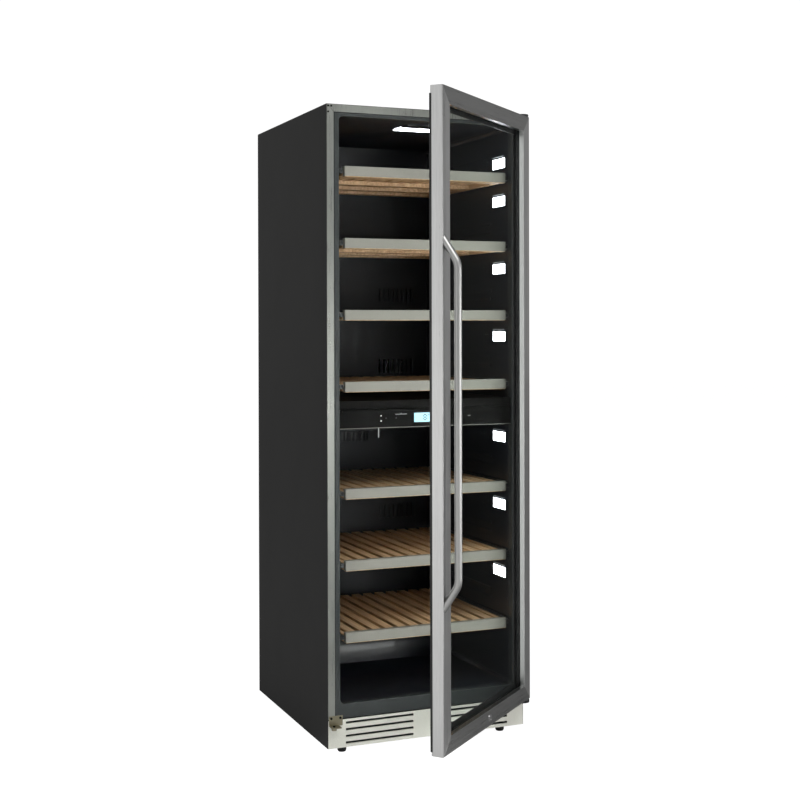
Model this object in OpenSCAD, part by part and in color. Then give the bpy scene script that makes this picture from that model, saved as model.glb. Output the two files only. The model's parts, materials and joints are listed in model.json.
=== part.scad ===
// Two-zone upright wine cooler with a glass door, seven pull-out racks and a louvred plinth.
// Sizes are in millimetres. The origin is on the floor under the middle of the cabinet,
// +X is to the right seen from the front, +Y runs to the back and +Z is up.
// Cabinet pieces are written from the front left corner on the floor and then centred.
// Door pieces are written as they lie when shut and then swung open about the hinge pins.

/* [Cabinet] */
// Width over the side panels
cab_w = 595; // [496:1:714]
// Depth from the front frame to the rear panel, without the door
cab_d = 645; // [540:1:774]
// Height from the floor to the top panel
cab_h = 1770; // [1475:1:2124]
// Thickness of the outer sheet steel
sheet_t = 1.2; // [0.8:0.1:2]
// Height of the base pan above the floor
base_z = 22; // [18:1:27]

/* [Front frame] */
// Width of the steel strip round the front
strip_w = 20.9; // [16:0.1:26]
// Width of the groove between the steel strip and the liner lip
groove_w = 2.7; // [1.5:0.1:4]
// Width of the liner lip at the sides and top
lip_w = 12.4; // [8:0.1:20]
// Height of the underside of the front frame
frame_z = 102; // [94:1:115]
// Height of the front rail under the mouth
front_rail_h = 38.6; // [30:0.1:55]
// Depth of the front frame
frame_t = 22; // [16:1:30]
// Radius of the mouth's corners
mouth_r = 13; // [6:1:20]

/* [Liner and insulation] */
// Thickness of the liner
liner_t = 2.5; // [1.5:0.1:4]
// Distance from the liner's back wall to the back of the cabinet
back_wall = 45; // [35:1:60]
// Depth of the step in the liner over the machine bay
step_d = 235; // [220:1:260]
// Clear space between the step and the lowest rack
step_gap = 10; // [4:1:20]
// Foam between the liner step and the machine bay
step_foam = 28; // [18:1:32]
// Height of the moulded ribs on the liner's side walls
rib_h = 8; // [5:1:12]
// How far the ribs stand out of the wall
rib_out = 2.5; // [1:0.5:3]

/* [Zones] */
// Height of the lower zone, from the liner floor to the divider fascia
lower_zone_h = 747.4; // [700:1:790]
// Height of the control fascia
fascia_h = 52; // [44:1:56]
// Thickness of the insulated divider between the zones
divider_t = 70; // [62:1:80]
// Width of the display window
display_w = 80; // [50:1:110]
// Height of the display window
display_h = 26; // [16:1:30]

/* [Racks] */
// Rise from the liner floor to the lowest rack
first_rise = 191.4; // [175:0.1:205]
// Rise from the divider to the rack above it
divider_rise = 58; // [50:1:70]
// Room over the top rack of the lower zone
lower_head = 164; // [150:1:190]
// Room over the top rack of the upper zone
upper_head = 134; // [120:1:150]
// Height of a rack's front trim
trim_h = 27; // [20:1:34]
// Gap between the mouth and the ends of a rack's front trim
trim_gap = 18; // [15:1:24]
// Gap between the front frame's face and the trim's face
trim_set = 3; // [2:0.5:6]
// Thickness of the wooden slats
slat_t = 8; // [6:1:12]
// Width of a slat
slat_w = 25; // [16:1:30]
// Distance from one slat to the next
slat_pitch = 38.5; // [34:0.5:46]
// Clear space between the racks and the duct covers
rack_back_gap = 48; // [30:1:70]

/* [Rack runners] */
// Height of the fixed rail
rail_h = 20; // [16:1:22]
// Width of the fixed rail
rail_w = 12.5; // [10:0.5:13]
// Wall of the fixed rail
rail_t = 2; // [1:0.5:2.5]
// Height of the sliding runner
runner_h = 12; // [8:1:12]

/* [Door] */
// Angle by which the door stands open
door_open = 41; // [0:1:115]
// Distance from the hinge side to the pin centres
pin_x = 11; // [10:0.5:12.5]
// Room between the front frame and the door's corner as it swings past
swing_room = 0.5; // [0.3:0.1:1.5]
// Gap between the front frame and the door's steel trim when shut
door_gap = 4; // [3.5:0.1:5]
// Gap between the frame's underside and the door's underside
door_low = 0.3; // [0:0.1:1]
// Gap between the cabinet's top and the door's top
door_high = 6.8; // [6:0.1:9]
// Width of the door's stiles and rails
stile_w = 44; // [38:1:55]
// Thickness of the door's steel trim sheet
trim_t = 1.2; // [0.8:0.1:1.5]
// How far the glass lies behind the door's face
glass_set = 13.8; // [10:0.1:16]
// Thickness of each pane
pane_t = 4; // [3:0.5:5]
// Space between the panes
pane_gap = 9; // [6:0.5:10]
// How far the panes reach under the frame
pane_grip = 14; // [10:1:16]
// Thickness of the frame's lip behind the glass
lip_t = 3; // [2:0.5:5]
// How far that lip reaches past the steel trim
lip_over = 9; // [5:1:14]
// Width of the magnetic gasket
gasket_w = 14; // [10:1:16]
// Distance from the door's edge to the gasket
gasket_in = 12; // [12:0.5:16]

/* [Handle] */
// Diameter of the handle tube
handle_d = 19; // [14:1:24]
// Distance from the door's face to the tube's centre line
handle_out = 34.7; // [30:0.1:50]
// Distance from the free edge of the door to the tube's centre line
handle_in = 13; // [12:0.5:22]
// Straight length of the tube between its corners
handle_len = 796.6; // [600:1:900]
// Height of the middle of the handle
handle_mid_z = 926.7; // [850:1:1000]
// Angle between the handle's ends and its bar
handle_bend = 33.5; // [30:0.5:60]
// Radius of the handle's bends on the centre line
handle_r = 45; // [25:1:55]

/* [Lock] */
// Diameter of the lock barrel
lock_d = 16; // [12:1:18]
// Running clearance of round parts, on the radius
run_gap = 0.05; // [0.02:0.01:0.1]

/* [Plinth and feet] */
// Plain strip between the two groups of louvres
louvre_mid = 91; // [60:1:140]
// Distance from the side of the cabinet to the louvres
louvre_in = 52; // [44:1:70]
// Height of one slot
louvre_h = 6.5; // [4:0.5:8]
// Distance from one slot to the next
louvre_pitch = 18.1; // [15:0.1:18.5]
// Slots in a group
louvre_count = 4; // [2:1:4]
// Diameter of a foot
foot_d = 25; // [20:1:35]
// Distance from the side of the cabinet to a foot's centre
foot_in_x = 55; // [40:1:80]
// Distance from the front or back to a foot's centre
foot_in_y = 41; // [32:1:80]
// Diameter of a foot's threaded stem
stem_d = 8; // [6:1:10]

/* [Lights] */
// Length of a side light window
light_w = 76; // [50:1:90]
// Height of a side light window
light_h = 28; // [20:1:32]
// Distance from the front frame to a side light window
light_y = 41.5; // [35:0.5:60]
// Drop from a rack's top to the middle of the light under it
light_drop = 74.5; // [60:0.5:76]
// Drop from the divider to the middle of the light under it
divider_light_drop = 42.5; // [30:0.5:60]
// Rise from the top rack to the middle of its light
top_light_rise = 35.5; // [30:0.5:60]

/* [Cooling] */
// Depth of the air duct behind the racks
duct_d = 28; // [24:1:34]
// Thickness of the duct covers
duct_t = 2.5; // [2:0.5:3]
// Diameter of the inside fans
fan_d = 92; // [70:1:100]
// Diameter of the condenser fan
cond_fan_d = 150; // [110:1:160]
// Depth of the machine bay
bay_d = 205; // [200:1:215]
// Diameter of the compressor
comp_d = 118; // [100:1:125]

/* [Hidden] */
$fn = 48;
eps = 0.5;

// Colours
black = "#1c1c1b";
dark = "#2b2d2c";
steel = "#b9bab8";
frame_grey = "#5c6260";
plinth_grey = "#cfcfc6";
trim_grey = "#a9a9a2";
wood = "#c79f6c";
copper = "#b87346";

// The mouth and the inside of the liner
mouth_in = strip_w + groove_w + lip_w;
mouth_low = frame_z + front_rail_h;
mouth_top = cab_h - strip_w - groove_w - lip_w + 4;
mouth_w = cab_w - 2 * mouth_in;
mouth_h = mouth_top - mouth_low;
liner_back = cab_d - back_wall;
shell_back = cab_d - sheet_t;
shell_top = cab_h - sheet_t;
shell_w = cab_w - 2 * sheet_t;

// The two zones. The nodes are named for three racks below and four above.
lower_racks = 3;
upper_racks = 4;
divider_low = mouth_low + lower_zone_h;
divider_top = divider_low + divider_t + 5;
duct_y = liner_back - duct_d;
rack_back = duct_y - rack_back_gap;
lower_first = mouth_low + first_rise;
lower_pitch = (divider_low - lower_head - lower_first) / (lower_racks - 1);
upper_first = divider_top + divider_rise - 5;
upper_pitch = (mouth_top - upper_head - upper_first) / (upper_racks - 1);
// Rack 1 is the top one
rack_top = [
    for (i = [0 : upper_racks - 1]) upper_first + (upper_racks - 1 - i) * upper_pitch,
    for (i = [0 : lower_racks - 1]) lower_first + (lower_racks - 1 - i) * lower_pitch
];
side_lights = [
    rack_top[0] + top_light_rise,
    divider_low - divider_light_drop,
    for (i = [0 : len(rack_top) - 2])
        if (i != upper_racks - 1) rack_top[i] - light_drop
];

// Racks and runners
rack_in = mouth_in + trim_gap;
rack_w = cab_w - 2 * rack_in;
slat_drop = 7;
slat_run = rack_w - 2 * 16;
slat_count = floor((slat_run - slat_w) / slat_pitch) + 1;
slat_first = (cab_w - (slat_count - 1) * slat_pitch - slat_w) / 2;
bar_w = 28;
bar_t = 11;
rack_drop = max(slat_drop + slat_t + bar_t, (trim_h + rail_h) / 2);
front_bar_d = 18;
side_bar_w = 12;
runner_x = mouth_in + 5;
runner_end = rack_in - 2.1;
rail_front = 8;
rail_len = rack_back - rail_front - 20;

// The step in the liner and the machine bay under it
step_z = lower_first - rack_drop - step_gap;
step_y = cab_d - step_d;
bay_y = cab_d - bay_d;
bay_top = step_z - step_foam - liner_t;

// The door when shut
door_z = frame_z + door_low;
door_h = cab_h - door_high - door_z;
door_t = glass_set + 2 * pane_t + pane_gap + lip_t;
door_back = -door_gap;
door_face = -door_gap - door_t;
glass_y = door_face + glass_set;
spacer_y = glass_y + pane_t;
inner_y = spacer_y + pane_gap;
lip_y = inner_y + pane_t;
pane_in = stile_w - pane_grip;
lip_back_w = stile_w + lip_over;
pivot_x = cab_w - pin_x;
pin_r = 4;
// The door's back corner turns about the pins on a radius of pin_y - swing_room.
pin_y = (pow(pin_x, 2) + pow(door_gap, 2) - pow(swing_room, 2)) / (2 * (door_gap - swing_room));
gasket_gap = 0.3;
lock_x = cab_w / 2;
lock_z = door_z + stile_w / 2;

// Hinge plates
hinge_t = 3;
hinge_w = 38;
hinge_front = pin_y + 9;
hinge_back = 18;
low_hinge_z = frame_z - hinge_t - 0.2;
high_hinge_z = shell_top - hinge_t;
plinth_top = low_hinge_z - 0.3;
louvre_w = (cab_w - 2 * louvre_in - louvre_mid) / 2;

// Handle
handle_y = door_face - handle_out;
tangent = handle_r * tan(handle_bend / 2);
arm_len = handle_out / sin(handle_bend) + handle_d;
lap = 0.8;

// Cooling
fan_hub = 17;
shaft_r = 2;
upper_fan_z = rack_top[2] + 55;
lower_fan_z = rack_top[5] + 55;
fan_x = cab_w / 2;
vent_x = fan_x + 80;
comp_x = mouth_in + 18 + comp_d / 2;
comp_y = bay_y + bay_d / 2;
cond_w = 120;
cond_x = cab_w - mouth_in - 8 - cond_w;
cond_fan_x = cond_x - 22;
cond_fan_z = base_z + 20 + cond_fan_d / 2;
chase_w = 50;
evap_h = 70;
evap_y = duct_y + duct_d / 2 + 1;
evap_z = [divider_top + 34, step_z + 34];
tube_rise = [0.75 * evap_h, 0.25 * evap_h];
chase_top = evap_z[0] + evap_h + 30;
suction_x = fan_x - 10;
liquid_x = fan_x + 12;
cond_z = base_z + 26;
cond_h = min(165, bay_top - cond_z - 34);
cond_tubes = [0.15, 0.38, 0.62, 0.85];
cond_rows = [bay_y + 50, bay_y + bay_d - 50];

// Mains inlet
inlet_x = mouth_in + 30;
inlet_z = base_z + 16;
inlet_w = 28;
inlet_h = 20;

// ---------- helpers ----------

// Puts a piece written from the cabinet's front left corner into the part's frame.
module place() {
    translate([-cab_w / 2, -cab_d / 2, 0]) children();
}

// Swings a door piece open about the hinge pins.
module swing() {
    place()
        translate([pivot_x, -pin_y, 0])
            rotate([0, 0, door_open])
                translate([-pivot_x, pin_y, 0]) children();
}

// A rectangle with round corners, drawn from its lower left corner.
module round_rect(w, h, r) {
    translate([r, 0]) square([w - 2 * r, h]);
    translate([0, r]) square([w, h - 2 * r]);
    for (x = [r, w - r], y = [r, h - r])
        translate([x, y]) circle(r = r);
}

// An upright sheet that faces the front, from y0 to y1, with its outline in X and Z.
module front_sheet(y0, y1) {
    translate([0, y1, 0])
        rotate([90, 0, 0]) linear_extrude(y1 - y0) children();
}

// An upright plate with square corners that faces the front.
module front_plate(x, z, w, h, y0, y1) {
    translate([x, y0, z]) cube([w, y1 - y0, h]);
}

// A straight tube or rod from p to q.
module run(p, q, r) {
    d = q - p;
    translate(p)
        rotate([0, acos(d[2] / norm(d)), atan2(d[1], d[0])])
            cylinder(h = norm(d), r = r);
}

// A brazed tube through a list of points, with a ball at each elbow.
module pipe(points, r) {
    for (i = [0 : len(points) - 2])
        run(points[i], points[i + 1], r);
    for (i = [1 : len(points) - 2])
        translate(points[i]) sphere(r = r + 0.6, $fn = 24);
}

// A screw head with a cross slot, facing the front.
module front_screw(x, y, z, r) {
    translate([x, y, z])
        rotate([90, 0, 0])
            difference() {
                cylinder(h = 1.6, r = r);
                translate([-r * 0.7, -0.4, 0.9]) cube([r * 1.4, 0.8, 2]);
                translate([-0.4, -r * 0.7, 0.9]) cube([0.8, r * 1.4, 2]);
            }
}

// ---------- cabinet shell ----------

module left_side_panel() {
    color(black) place()
        translate([0, 0, base_z]) cube([sheet_t, cab_d, cab_h - base_z]);
}

module right_side_panel() {
    color(black) place()
        translate([cab_w - sheet_t, 0, base_z]) cube([sheet_t, cab_d, cab_h - base_z]);
}

module top_panel() {
    color(black) place()
        translate([sheet_t, 0, shell_top]) cube([shell_w, cab_d, sheet_t]);
}

module rear_panel() {
    slot_h = 5;
    slot_pitch = 14;
    slot_w = (cab_w - 2 * mouth_in - 60) / 2;
    slots = floor((bay_top - base_z - 70) / slot_pitch);
    color(dark) place()
        difference() {
            translate([sheet_t, shell_back, base_z])
                cube([shell_w, sheet_t, shell_top - base_z]);
            for (i = [0 : slots - 1], x = [mouth_in, cab_w - mouth_in - slot_w])
                front_plate(x, base_z + 60 + i * slot_pitch, slot_w, slot_h,
                            shell_back - eps, cab_d + eps);
            front_plate(inlet_x, inlet_z, inlet_w, inlet_h, shell_back - eps, cab_d + eps);
        }
}

module base_pan() {
    lip = 14;
    color(dark) place()
        difference() {
            translate([sheet_t, 2, base_z]) cube([shell_w, shell_back - 2, lip]);
            translate([2 * sheet_t, -eps, base_z + sheet_t])
                cube([shell_w - 2 * sheet_t, shell_back - sheet_t + eps, lip]);
            for (x = [foot_in_x, cab_w - foot_in_x], y = [foot_in_y, cab_d - foot_in_y])
                translate([x, y, base_z - eps]) cylinder(h = 5, r = stem_d / 2 + run_gap);
        }
}

module plinth_grille() {
    h = plinth_top - base_z;
    first = (h - (louvre_count - 1) * louvre_pitch - louvre_h) / 2 + 1;
    color(plinth_grey) place() {
        difference() {
            front_plate(sheet_t, base_z, shell_w, h, 0, 1.5);
            for (i = [0 : louvre_count - 1], x = [louvre_in, cab_w - louvre_in - louvre_w])
                front_plate(x, base_z + first + i * louvre_pitch, louvre_w, louvre_h, -eps, 2);
        }
    }
}

module face_frame() {
    color(frame_grey) place()
        difference() {
            front_plate(sheet_t, frame_z, shell_w, shell_top - frame_z, 0, frame_t);
            front_plate(strip_w, frame_z - eps, cab_w - 2 * strip_w,
                        cab_h - strip_w - frame_z + eps, -eps, frame_t + eps);
            translate([cab_w - hinge_w - sheet_t - 0.3, -eps, high_hinge_z - 0.2])
                cube([hinge_w + 0.3, hinge_back + 1, hinge_t + 1]);
            for (x = [5, 14]) front_hole(x, cab_h - 6);
            front_hole(5, cab_h - 22);
        }
}

// A pilot hole for a screw in the front frame.
module front_hole(x, z) {
    translate([x, 8, z]) rotate([90, 0, 0]) cylinder(h = 9, r = 1.5);
}

module breaker_frame() {
    lip_in = strip_w + groove_w;
    color(dark) place()
        difference() {
            union() {
                front_plate(lip_in, frame_z, cab_w - 2 * lip_in,
                            cab_h - lip_in - frame_z, 0, frame_t - 6);
                front_plate(strip_w, frame_z, cab_w - 2 * strip_w,
                            cab_h - strip_w - frame_z, frame_t - 16, frame_t);
            }
            front_sheet(-eps, frame_t + eps)
                translate([mouth_in, mouth_low]) round_rect(mouth_w, mouth_h, mouth_r);
        }
}

// The inside of the liner, or its outside when grown by the wall.
module liner_space(grow, y0) {
    difference() {
        front_sheet(y0, liner_back + grow)
            translate([mouth_in - grow, mouth_low - grow])
                round_rect(mouth_w + 2 * grow, mouth_h + 2 * grow, mouth_r + grow);
        translate([0, step_y + grow, 0]) cube([cab_w, step_d, step_z - grow]);
    }
}

module foam_insulation() {
    color("#d9c98f") place()
        difference() {
            translate([sheet_t, frame_t, frame_z])
                cube([shell_w, shell_back - frame_t, shell_top - frame_z]);
            liner_space(liner_t, frame_t - 1);
            translate([mouth_in - 4, bay_y, 0])
                cube([cab_w - 2 * mouth_in + 8, bay_d, bay_top]);
            translate([fan_x - chase_w / 2, liner_back + liner_t, bay_top - 1])
                cube([chase_w, back_wall, chase_top - bay_top]);
        }
}

module inner_liner() {
    color(black) place()
        difference() {
            union() {
                difference() {
                    liner_space(liner_t, frame_t);
                    liner_space(0, frame_t - 1);
                }
                for (t = rack_top, k = [1, 2], s = [0, 1])
                    if (t + 26 * k < mouth_top - 20)
                        wall_rib(t + 24 * k + 8, s);
            }
            for (z = side_lights) side_light(z, 1);
            roof_light(1);
            for (z = evap_z, p = [[suction_x, tube_rise[0]], [liquid_x, tube_rise[1]]])
                translate([p[0], liner_back - 1, z + p[1]])
                    rotate([-90, 0, 0]) cylinder(h = liner_t + 2, r = 5);
        }
}

// A moulded rib on a side wall of the liner: side 0 is the left wall.
module wall_rib(z, side) {
    x = side == 0 ? mouth_in - 0.2 : cab_w - mouth_in - rib_out;
    front = light_y + light_w + 14;
    translate([x, front, z]) cube([rib_out + 0.2, duct_y - front - 20, rib_h]);
}

// ---------- inside ----------

module zone_divider() {
    front = trim_set + 6;
    color(dark) place()
        difference() {
            translate([mouth_in + 0.1, front, divider_low + 5])
                cube([mouth_w - 0.2, liner_back - front - 0.1, divider_t]);
            translate([mouth_in + 16, front - eps, divider_low + 10])
                cube([mouth_w - 32, 24, fascia_h - 10]);
        }
}

module control_fascia() {
    mid = divider_low + fascia_h / 2;
    color(black) place()
        difference() {
            front_plate(mouth_in + 1.5, divider_low, mouth_w - 3, fascia_h,
                        trim_set, trim_set + 6);
            front_plate(cab_w / 2 - display_w / 2, mid - display_h / 2, display_w, display_h,
                        trim_set - eps, trim_set + 7);
        }
}

module display_window() {
    mid = divider_low + fascia_h / 2;
    color("#bfe9ee") place()
        front_plate(cab_w / 2 - display_w / 2 + 0.1, mid - display_h / 2 + 0.1,
                    display_w - 0.2, display_h - 0.2, trim_set, trim_set + 4);
}

module control_board() {
    mid = divider_low + fascia_h / 2;
    color("#2f6a3c") place() {
        front_plate(mouth_in + 60, mid - 14, mouth_w - 120, 28, trim_set + 12, trim_set + 13.6);
        for (x = [-150, -90, 110])
            front_plate(cab_w / 2 + x, mid - 8, 22, 14, trim_set + 13.6, trim_set + 20);
    }
}

// A plastic cover with louvre slots, a moulded fan mount and a motor shaft behind it.
module duct_cover(z0, z1, fan_z, slot_rows) {
    x0 = mouth_in + 54;
    w = mouth_w - 108;
    color(black) place() {
        difference() {
            translate([x0, duct_y, z0]) cube([w, duct_d - 0.1, z1 - z0]);
            translate([x0 + duct_t, duct_y + duct_t, z0 + duct_t])
                cube([w - 2 * duct_t, duct_d, z1 - z0 - 2 * duct_t]);
            for (z = slot_rows, i = [0 : 8])
                front_plate(vent_x + i * 15.5, z, 6, 44, duct_y - eps, duct_y + duct_t + eps);
            for (i = [-4 : 4])
                front_plate(fan_x + i * 10 - 2.5, z1 - 46, 5, 30,
                            duct_y - eps, duct_y + duct_t + eps);
        }
        translate([fan_x, duct_y + duct_t, fan_z])
            rotate([-90, 0, 0]) {
                cylinder(h = 6, r = 14);
                cylinder(h = duct_d - duct_t - 4, r = shaft_r);
            }
    }
}

module upper_duct_cover() {
    duct_cover(divider_top + 14, mouth_top - 70, upper_fan_z + 30,
               [rack_top[3] + 1, rack_top[2] + 33]);
}

module lower_duct_cover() {
    duct_cover(step_z + 12, divider_low - 40, lower_fan_z + 30,
               [rack_top[5] + 24]);
}

// One fan: a hub with a bore and slanted blades, turning about Y.
module fan_wheel(x, y, z, d, hub_r, depth, blades) {
    translate([x, y, z])
        rotate([-90, 0, 0])
            difference() {
                union() {
                    cylinder(h = depth, r = hub_r);
                    for (i = [0 : blades - 1])
                        rotate([0, 0, i * 360 / blades])
                            translate([hub_r - 2, 0, depth / 2])
                                rotate([32, 0, 0])
                                    translate([0, -hub_r * 0.55, -0.6])
                                        cube([d / 2 - hub_r, hub_r * 1.1, 1.2]);
                }
                translate([0, 0, -eps]) cylinder(h = depth + 1, r = shaft_r + run_gap);
            }
}

module upper_fan() {
    color(dark) place()
        fan_wheel(fan_x, duct_y + duct_t + 6.5, upper_fan_z + 30, fan_d, fan_hub, 11, 7);
}

module lower_fan() {
    color(dark) place()
        fan_wheel(fan_x, duct_y + duct_t + 6.5, lower_fan_z + 30, fan_d, fan_hub, 11, 7);
}

// A fin block with two through tubes.
module fin_block(x, y, z, w, d, h, fins) {
    pitch = (w - 2) / (fins - 1);
    for (i = [0 : fins - 1])
        translate([x + i * pitch, y, z]) cube([2, d, h]);
    for (k = [0.25, 0.75])
        translate([x - 6, y + d / 2, z + h * k])
            rotate([0, 90, 0]) cylinder(h = w + 12, r = 4);
}

module evaporators() {
    w = mouth_w - 200;
    d = duct_d - 14;
    color("#c9ccce") place()
        for (z = evap_z)
            fin_block(mouth_in + 100, evap_y - d / 2, z, w, d, evap_h, 24);
}

module light_lenses() {
    color("#fafcff") place() {
        for (z = side_lights) side_light(z, 0);
        roof_light(0);
    }
}

// A side light's lens, or the hole for it in the liner.
module side_light(z, hole) {
    out = hole == 1 ? 0.5 : 1.2;
    translate([cab_w - mouth_in - out, light_y, z - light_h / 2])
        cube([liner_t + out, light_w, light_h]);
}

// The roof light's lens, or the hole for it in the liner.
module roof_light(hole) {
    out = hole == 1 ? 0.5 : 1.5;
    translate([cab_w / 2 - 25, 72, mouth_top - out]) cube([113, 117, liner_t + out]);
}

module outer_rails() {
    color(dark) place()
        for (t = rack_top) {
            fixed_rail(t);
            translate([cab_w, 0, 0]) mirror([1, 0, 0]) fixed_rail(t);
        }
}

// The left fixed rail of the rack whose top is at height t: a channel open to the inside.
module fixed_rail(t) {
    translate([mouth_in, rail_front + frame_t, t - trim_h / 2 - rail_h / 2])
        difference() {
            cube([rail_w, rail_len - frame_t, rail_h]);
            translate([rail_t, -eps, rail_t])
                cube([rail_w, rail_len - frame_t + 1, rail_h - 2 * rail_t]);
        }
}

// ---------- racks ----------

module rack_trim(i) {
    t = rack_top[i];
    color(trim_grey) place()
        translate([rack_in, trim_set, t - trim_h])
            difference() {
                cube([rack_w, front_bar_d, trim_h]);
                translate([sheet_t, sheet_t, -eps])
                    cube([rack_w - 2 * sheet_t, front_bar_d, trim_h - sheet_t + eps]);
            }
}

module rack_slats(i) {
    t = rack_top[i];
    top = t - slat_drop;
    bar_top = top - slat_t;
    front = trim_set + front_bar_d + 0.2;
    len = rack_back - front;
    bars = [0.05, 0.43, 0.72, 0.97];
    color(wood) place() {
        translate([rack_in + sheet_t + 0.3, trim_set + sheet_t + 0.1, t - trim_h - 1.5])
            cube([rack_w - 2 * sheet_t - 0.6, front_bar_d + 1, trim_h - sheet_t + 1.2]);
        for (n = [0 : slat_count - 1])
            translate([slat_first + n * slat_pitch, front - 0.2, bar_top])
                cube([slat_w, len, slat_t]);
        for (b = bars)
            translate([rack_in, front + b * (len - bar_w), bar_top - bar_t])
                cube([rack_w, bar_w, bar_t + 0.1]);
        for (x = [rack_in - 2, cab_w - rack_in + 2 - side_bar_w])
            translate([x, front, bar_top - bar_t])
                cube([side_bar_w, len, bar_t + slat_t]);
    }
    color(steel) place() {
        slide_runner(t);
        translate([cab_w, 0, 0]) mirror([1, 0, 0]) slide_runner(t);
    }
}

// The left steel runner that carries a rack in its fixed rail.
module slide_runner(t) {
    z = t - trim_h / 2 - runner_h / 2;
    translate([runner_x, rail_front + 2, z])
        cube([runner_end - runner_x, rail_len - 10, runner_h]);
}

// ---------- machine bay ----------

module compressor() {
    r = comp_d / 2;
    color(black) place()
        translate([comp_x, comp_y, base_z + sheet_t]) {
            translate([0, 0, 14])
                rotate_extrude($fn = 64)
                    union() {
                        square([r, 95]);
                        translate([0, 95]) square([r - 18, 18]);
                        translate([r - 18, 95]) intersection() {
                            circle(r = 18);
                            square([18, 18]);
                        }
                    }
            translate([-r + 12, -r + 6, 12]) cube([2 * r - 24, 2 * r - 12, 3]);
            for (x = [-1, 1], y = [-1, 1])
                translate([x * (r - 20), y * (r - 12), 0.1]) cylinder(h = 13, r = 9);
            translate([r - 8, -24, 40]) cube([24, 48, 52]);
        }
}

module condenser() {
    fins = 30;
    pitch = (cond_w - 2) / (fins - 1);
    color("#3a3c3c") place() {
        for (i = [0 : fins - 1])
            translate([cond_x + i * pitch, bay_y + 14, cond_z]) cube([1.5, bay_d - 28, cond_h]);
        for (k = cond_tubes, y = cond_rows)
            translate([cond_x - 3, y, cond_z + cond_h * k])
                rotate([0, 90, 0]) cylinder(h = cond_w + 8, r = 4.5);
        translate([cond_x - 22, comp_y, cond_fan_z])
            rotate([0, 90, 0]) {
                translate([0, 0, 14]) cylinder(h = 9, r = 22);
                translate([0, 0, 1]) cylinder(h = 16, r = shaft_r);
            }
        for (a = [0, 90])
            translate([cond_x - 6, comp_y, cond_fan_z])
                rotate([a, 0, 0])
                    translate([0, -cond_fan_d / 2 - 4, -3]) cube([4, cond_fan_d + 8, 6]);
        front_ring();
    }
}

// The shroud round the condenser fan.
module front_ring() {
    translate([cond_x - 24, comp_y, cond_fan_z])
        rotate([0, 90, 0])
            difference() {
                cylinder(h = 22, r = cond_fan_d / 2 + 6);
                translate([0, 0, -1]) cylinder(h = 24, r = cond_fan_d / 2 + 2);
            }
}

module condenser_fan() {
    color(dark) place()
        translate([cond_fan_x, comp_y, cond_fan_z])
            rotate([0, 90, 0])
                difference() {
                    union() {
                        translate([0, 0, 1]) cylinder(h = 12, r = 24);
                        for (i = [0 : 4])
                            rotate([0, 0, i * 72])
                                translate([22, 0, 7])
                                    rotate([28, 0, 0])
                                        translate([0, -15, -0.8])
                                            cube([cond_fan_d / 2 - 24, 30, 1.6]);
                    }
                    cylinder(h = 30, r = shaft_r + run_gap, center = true);
                }
}

// The suction line, the discharge line, and the liquid line with its drier.
module refrigerant_lines() {
    back = liner_back + liner_t + 16;
    shell_z = base_z + 120;
    dry_x = liquid_x + 30;
    dry_y = cond_rows[1];
    dry_z = base_z + 60;
    dry_h = 80;
    end_x = cond_x + cond_w + 4;
    pan_z = base_z + 14;
    high = bay_top - 18;
    mid = bay_top - 27;
    low = bay_top - 36;
    color(copper) place() {
        pipe([[comp_x + 44, comp_y, shell_z], [comp_x + 44, comp_y, high],
              [suction_x, comp_y, high], [suction_x, back, high],
              [suction_x, back, evap_z[0] + tube_rise[0]],
              [suction_x, evap_y, evap_z[0] + tube_rise[0]]], 4);
        run([suction_x, back, evap_z[1] + tube_rise[0]],
            [suction_x, evap_y, evap_z[1] + tube_rise[0]], 4.2);
        pipe([[comp_x + 44, comp_y - 25, shell_z], [comp_x + 44, comp_y - 25, mid],
              [end_x, comp_y - 25, mid], [end_x, cond_rows[0], mid],
              [end_x, cond_rows[0], cond_z + cond_h * cond_tubes[3]]], 3);
        pipe([[end_x, dry_y, cond_z + cond_h * cond_tubes[0]], [end_x, dry_y, pan_z],
              [dry_x, dry_y, pan_z], [dry_x, dry_y, dry_z + 1]], 2.5);
        translate([dry_x, dry_y, dry_z]) cylinder(h = dry_h, r = 9);
        pipe([[dry_x, dry_y, dry_z + dry_h - 1], [dry_x, dry_y, low],
              [liquid_x, dry_y, low], [liquid_x, back, low],
              [liquid_x, back, evap_z[0] + tube_rise[1]],
              [liquid_x, evap_y, evap_z[0] + tube_rise[1]]], 2.5);
        run([liquid_x, back, evap_z[1] + tube_rise[1]],
            [liquid_x, evap_y, evap_z[1] + tube_rise[1]], 2.7);
    }
}

module drip_tray() {
    w = comp_d - 20;
    color("#d8d8d4") place()
        translate([comp_x - w / 2 - 5, comp_y - w / 2 - 10, base_z + sheet_t + 14 + 113.2])
            difference() {
                cube([w - 10, w - 10, 22]);
                translate([2, 2, 2]) cube([w - 14, w - 14, 22]);
            }
}

// A three-pin appliance inlet with its flange behind the rear panel.
module power_inlet() {
    socket_d = 14;
    color(black) place()
        difference() {
            union() {
                front_plate(inlet_x + 0.1, inlet_z + 0.1, inlet_w - 0.2, inlet_h - 0.2,
                            shell_back - 18, cab_d);
                front_plate(inlet_x - 9, inlet_z - 2, inlet_w + 18, inlet_h + 4,
                            shell_back - 2, shell_back - 0.05);
            }
            front_plate(inlet_x + 3, inlet_z + 3, inlet_w - 6, inlet_h - 6,
                        shell_back - socket_d, cab_d + eps);
        }
    color(steel) place()
        for (p = [[7, 8], [14, 13], [21, 8]])
            front_plate(inlet_x + p[0] - 1, inlet_z + p[1] - 2, 2, 4,
                        shell_back - socket_d - 0.1, cab_d - 3);
}

// ---------- hinges and fasteners ----------

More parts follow.
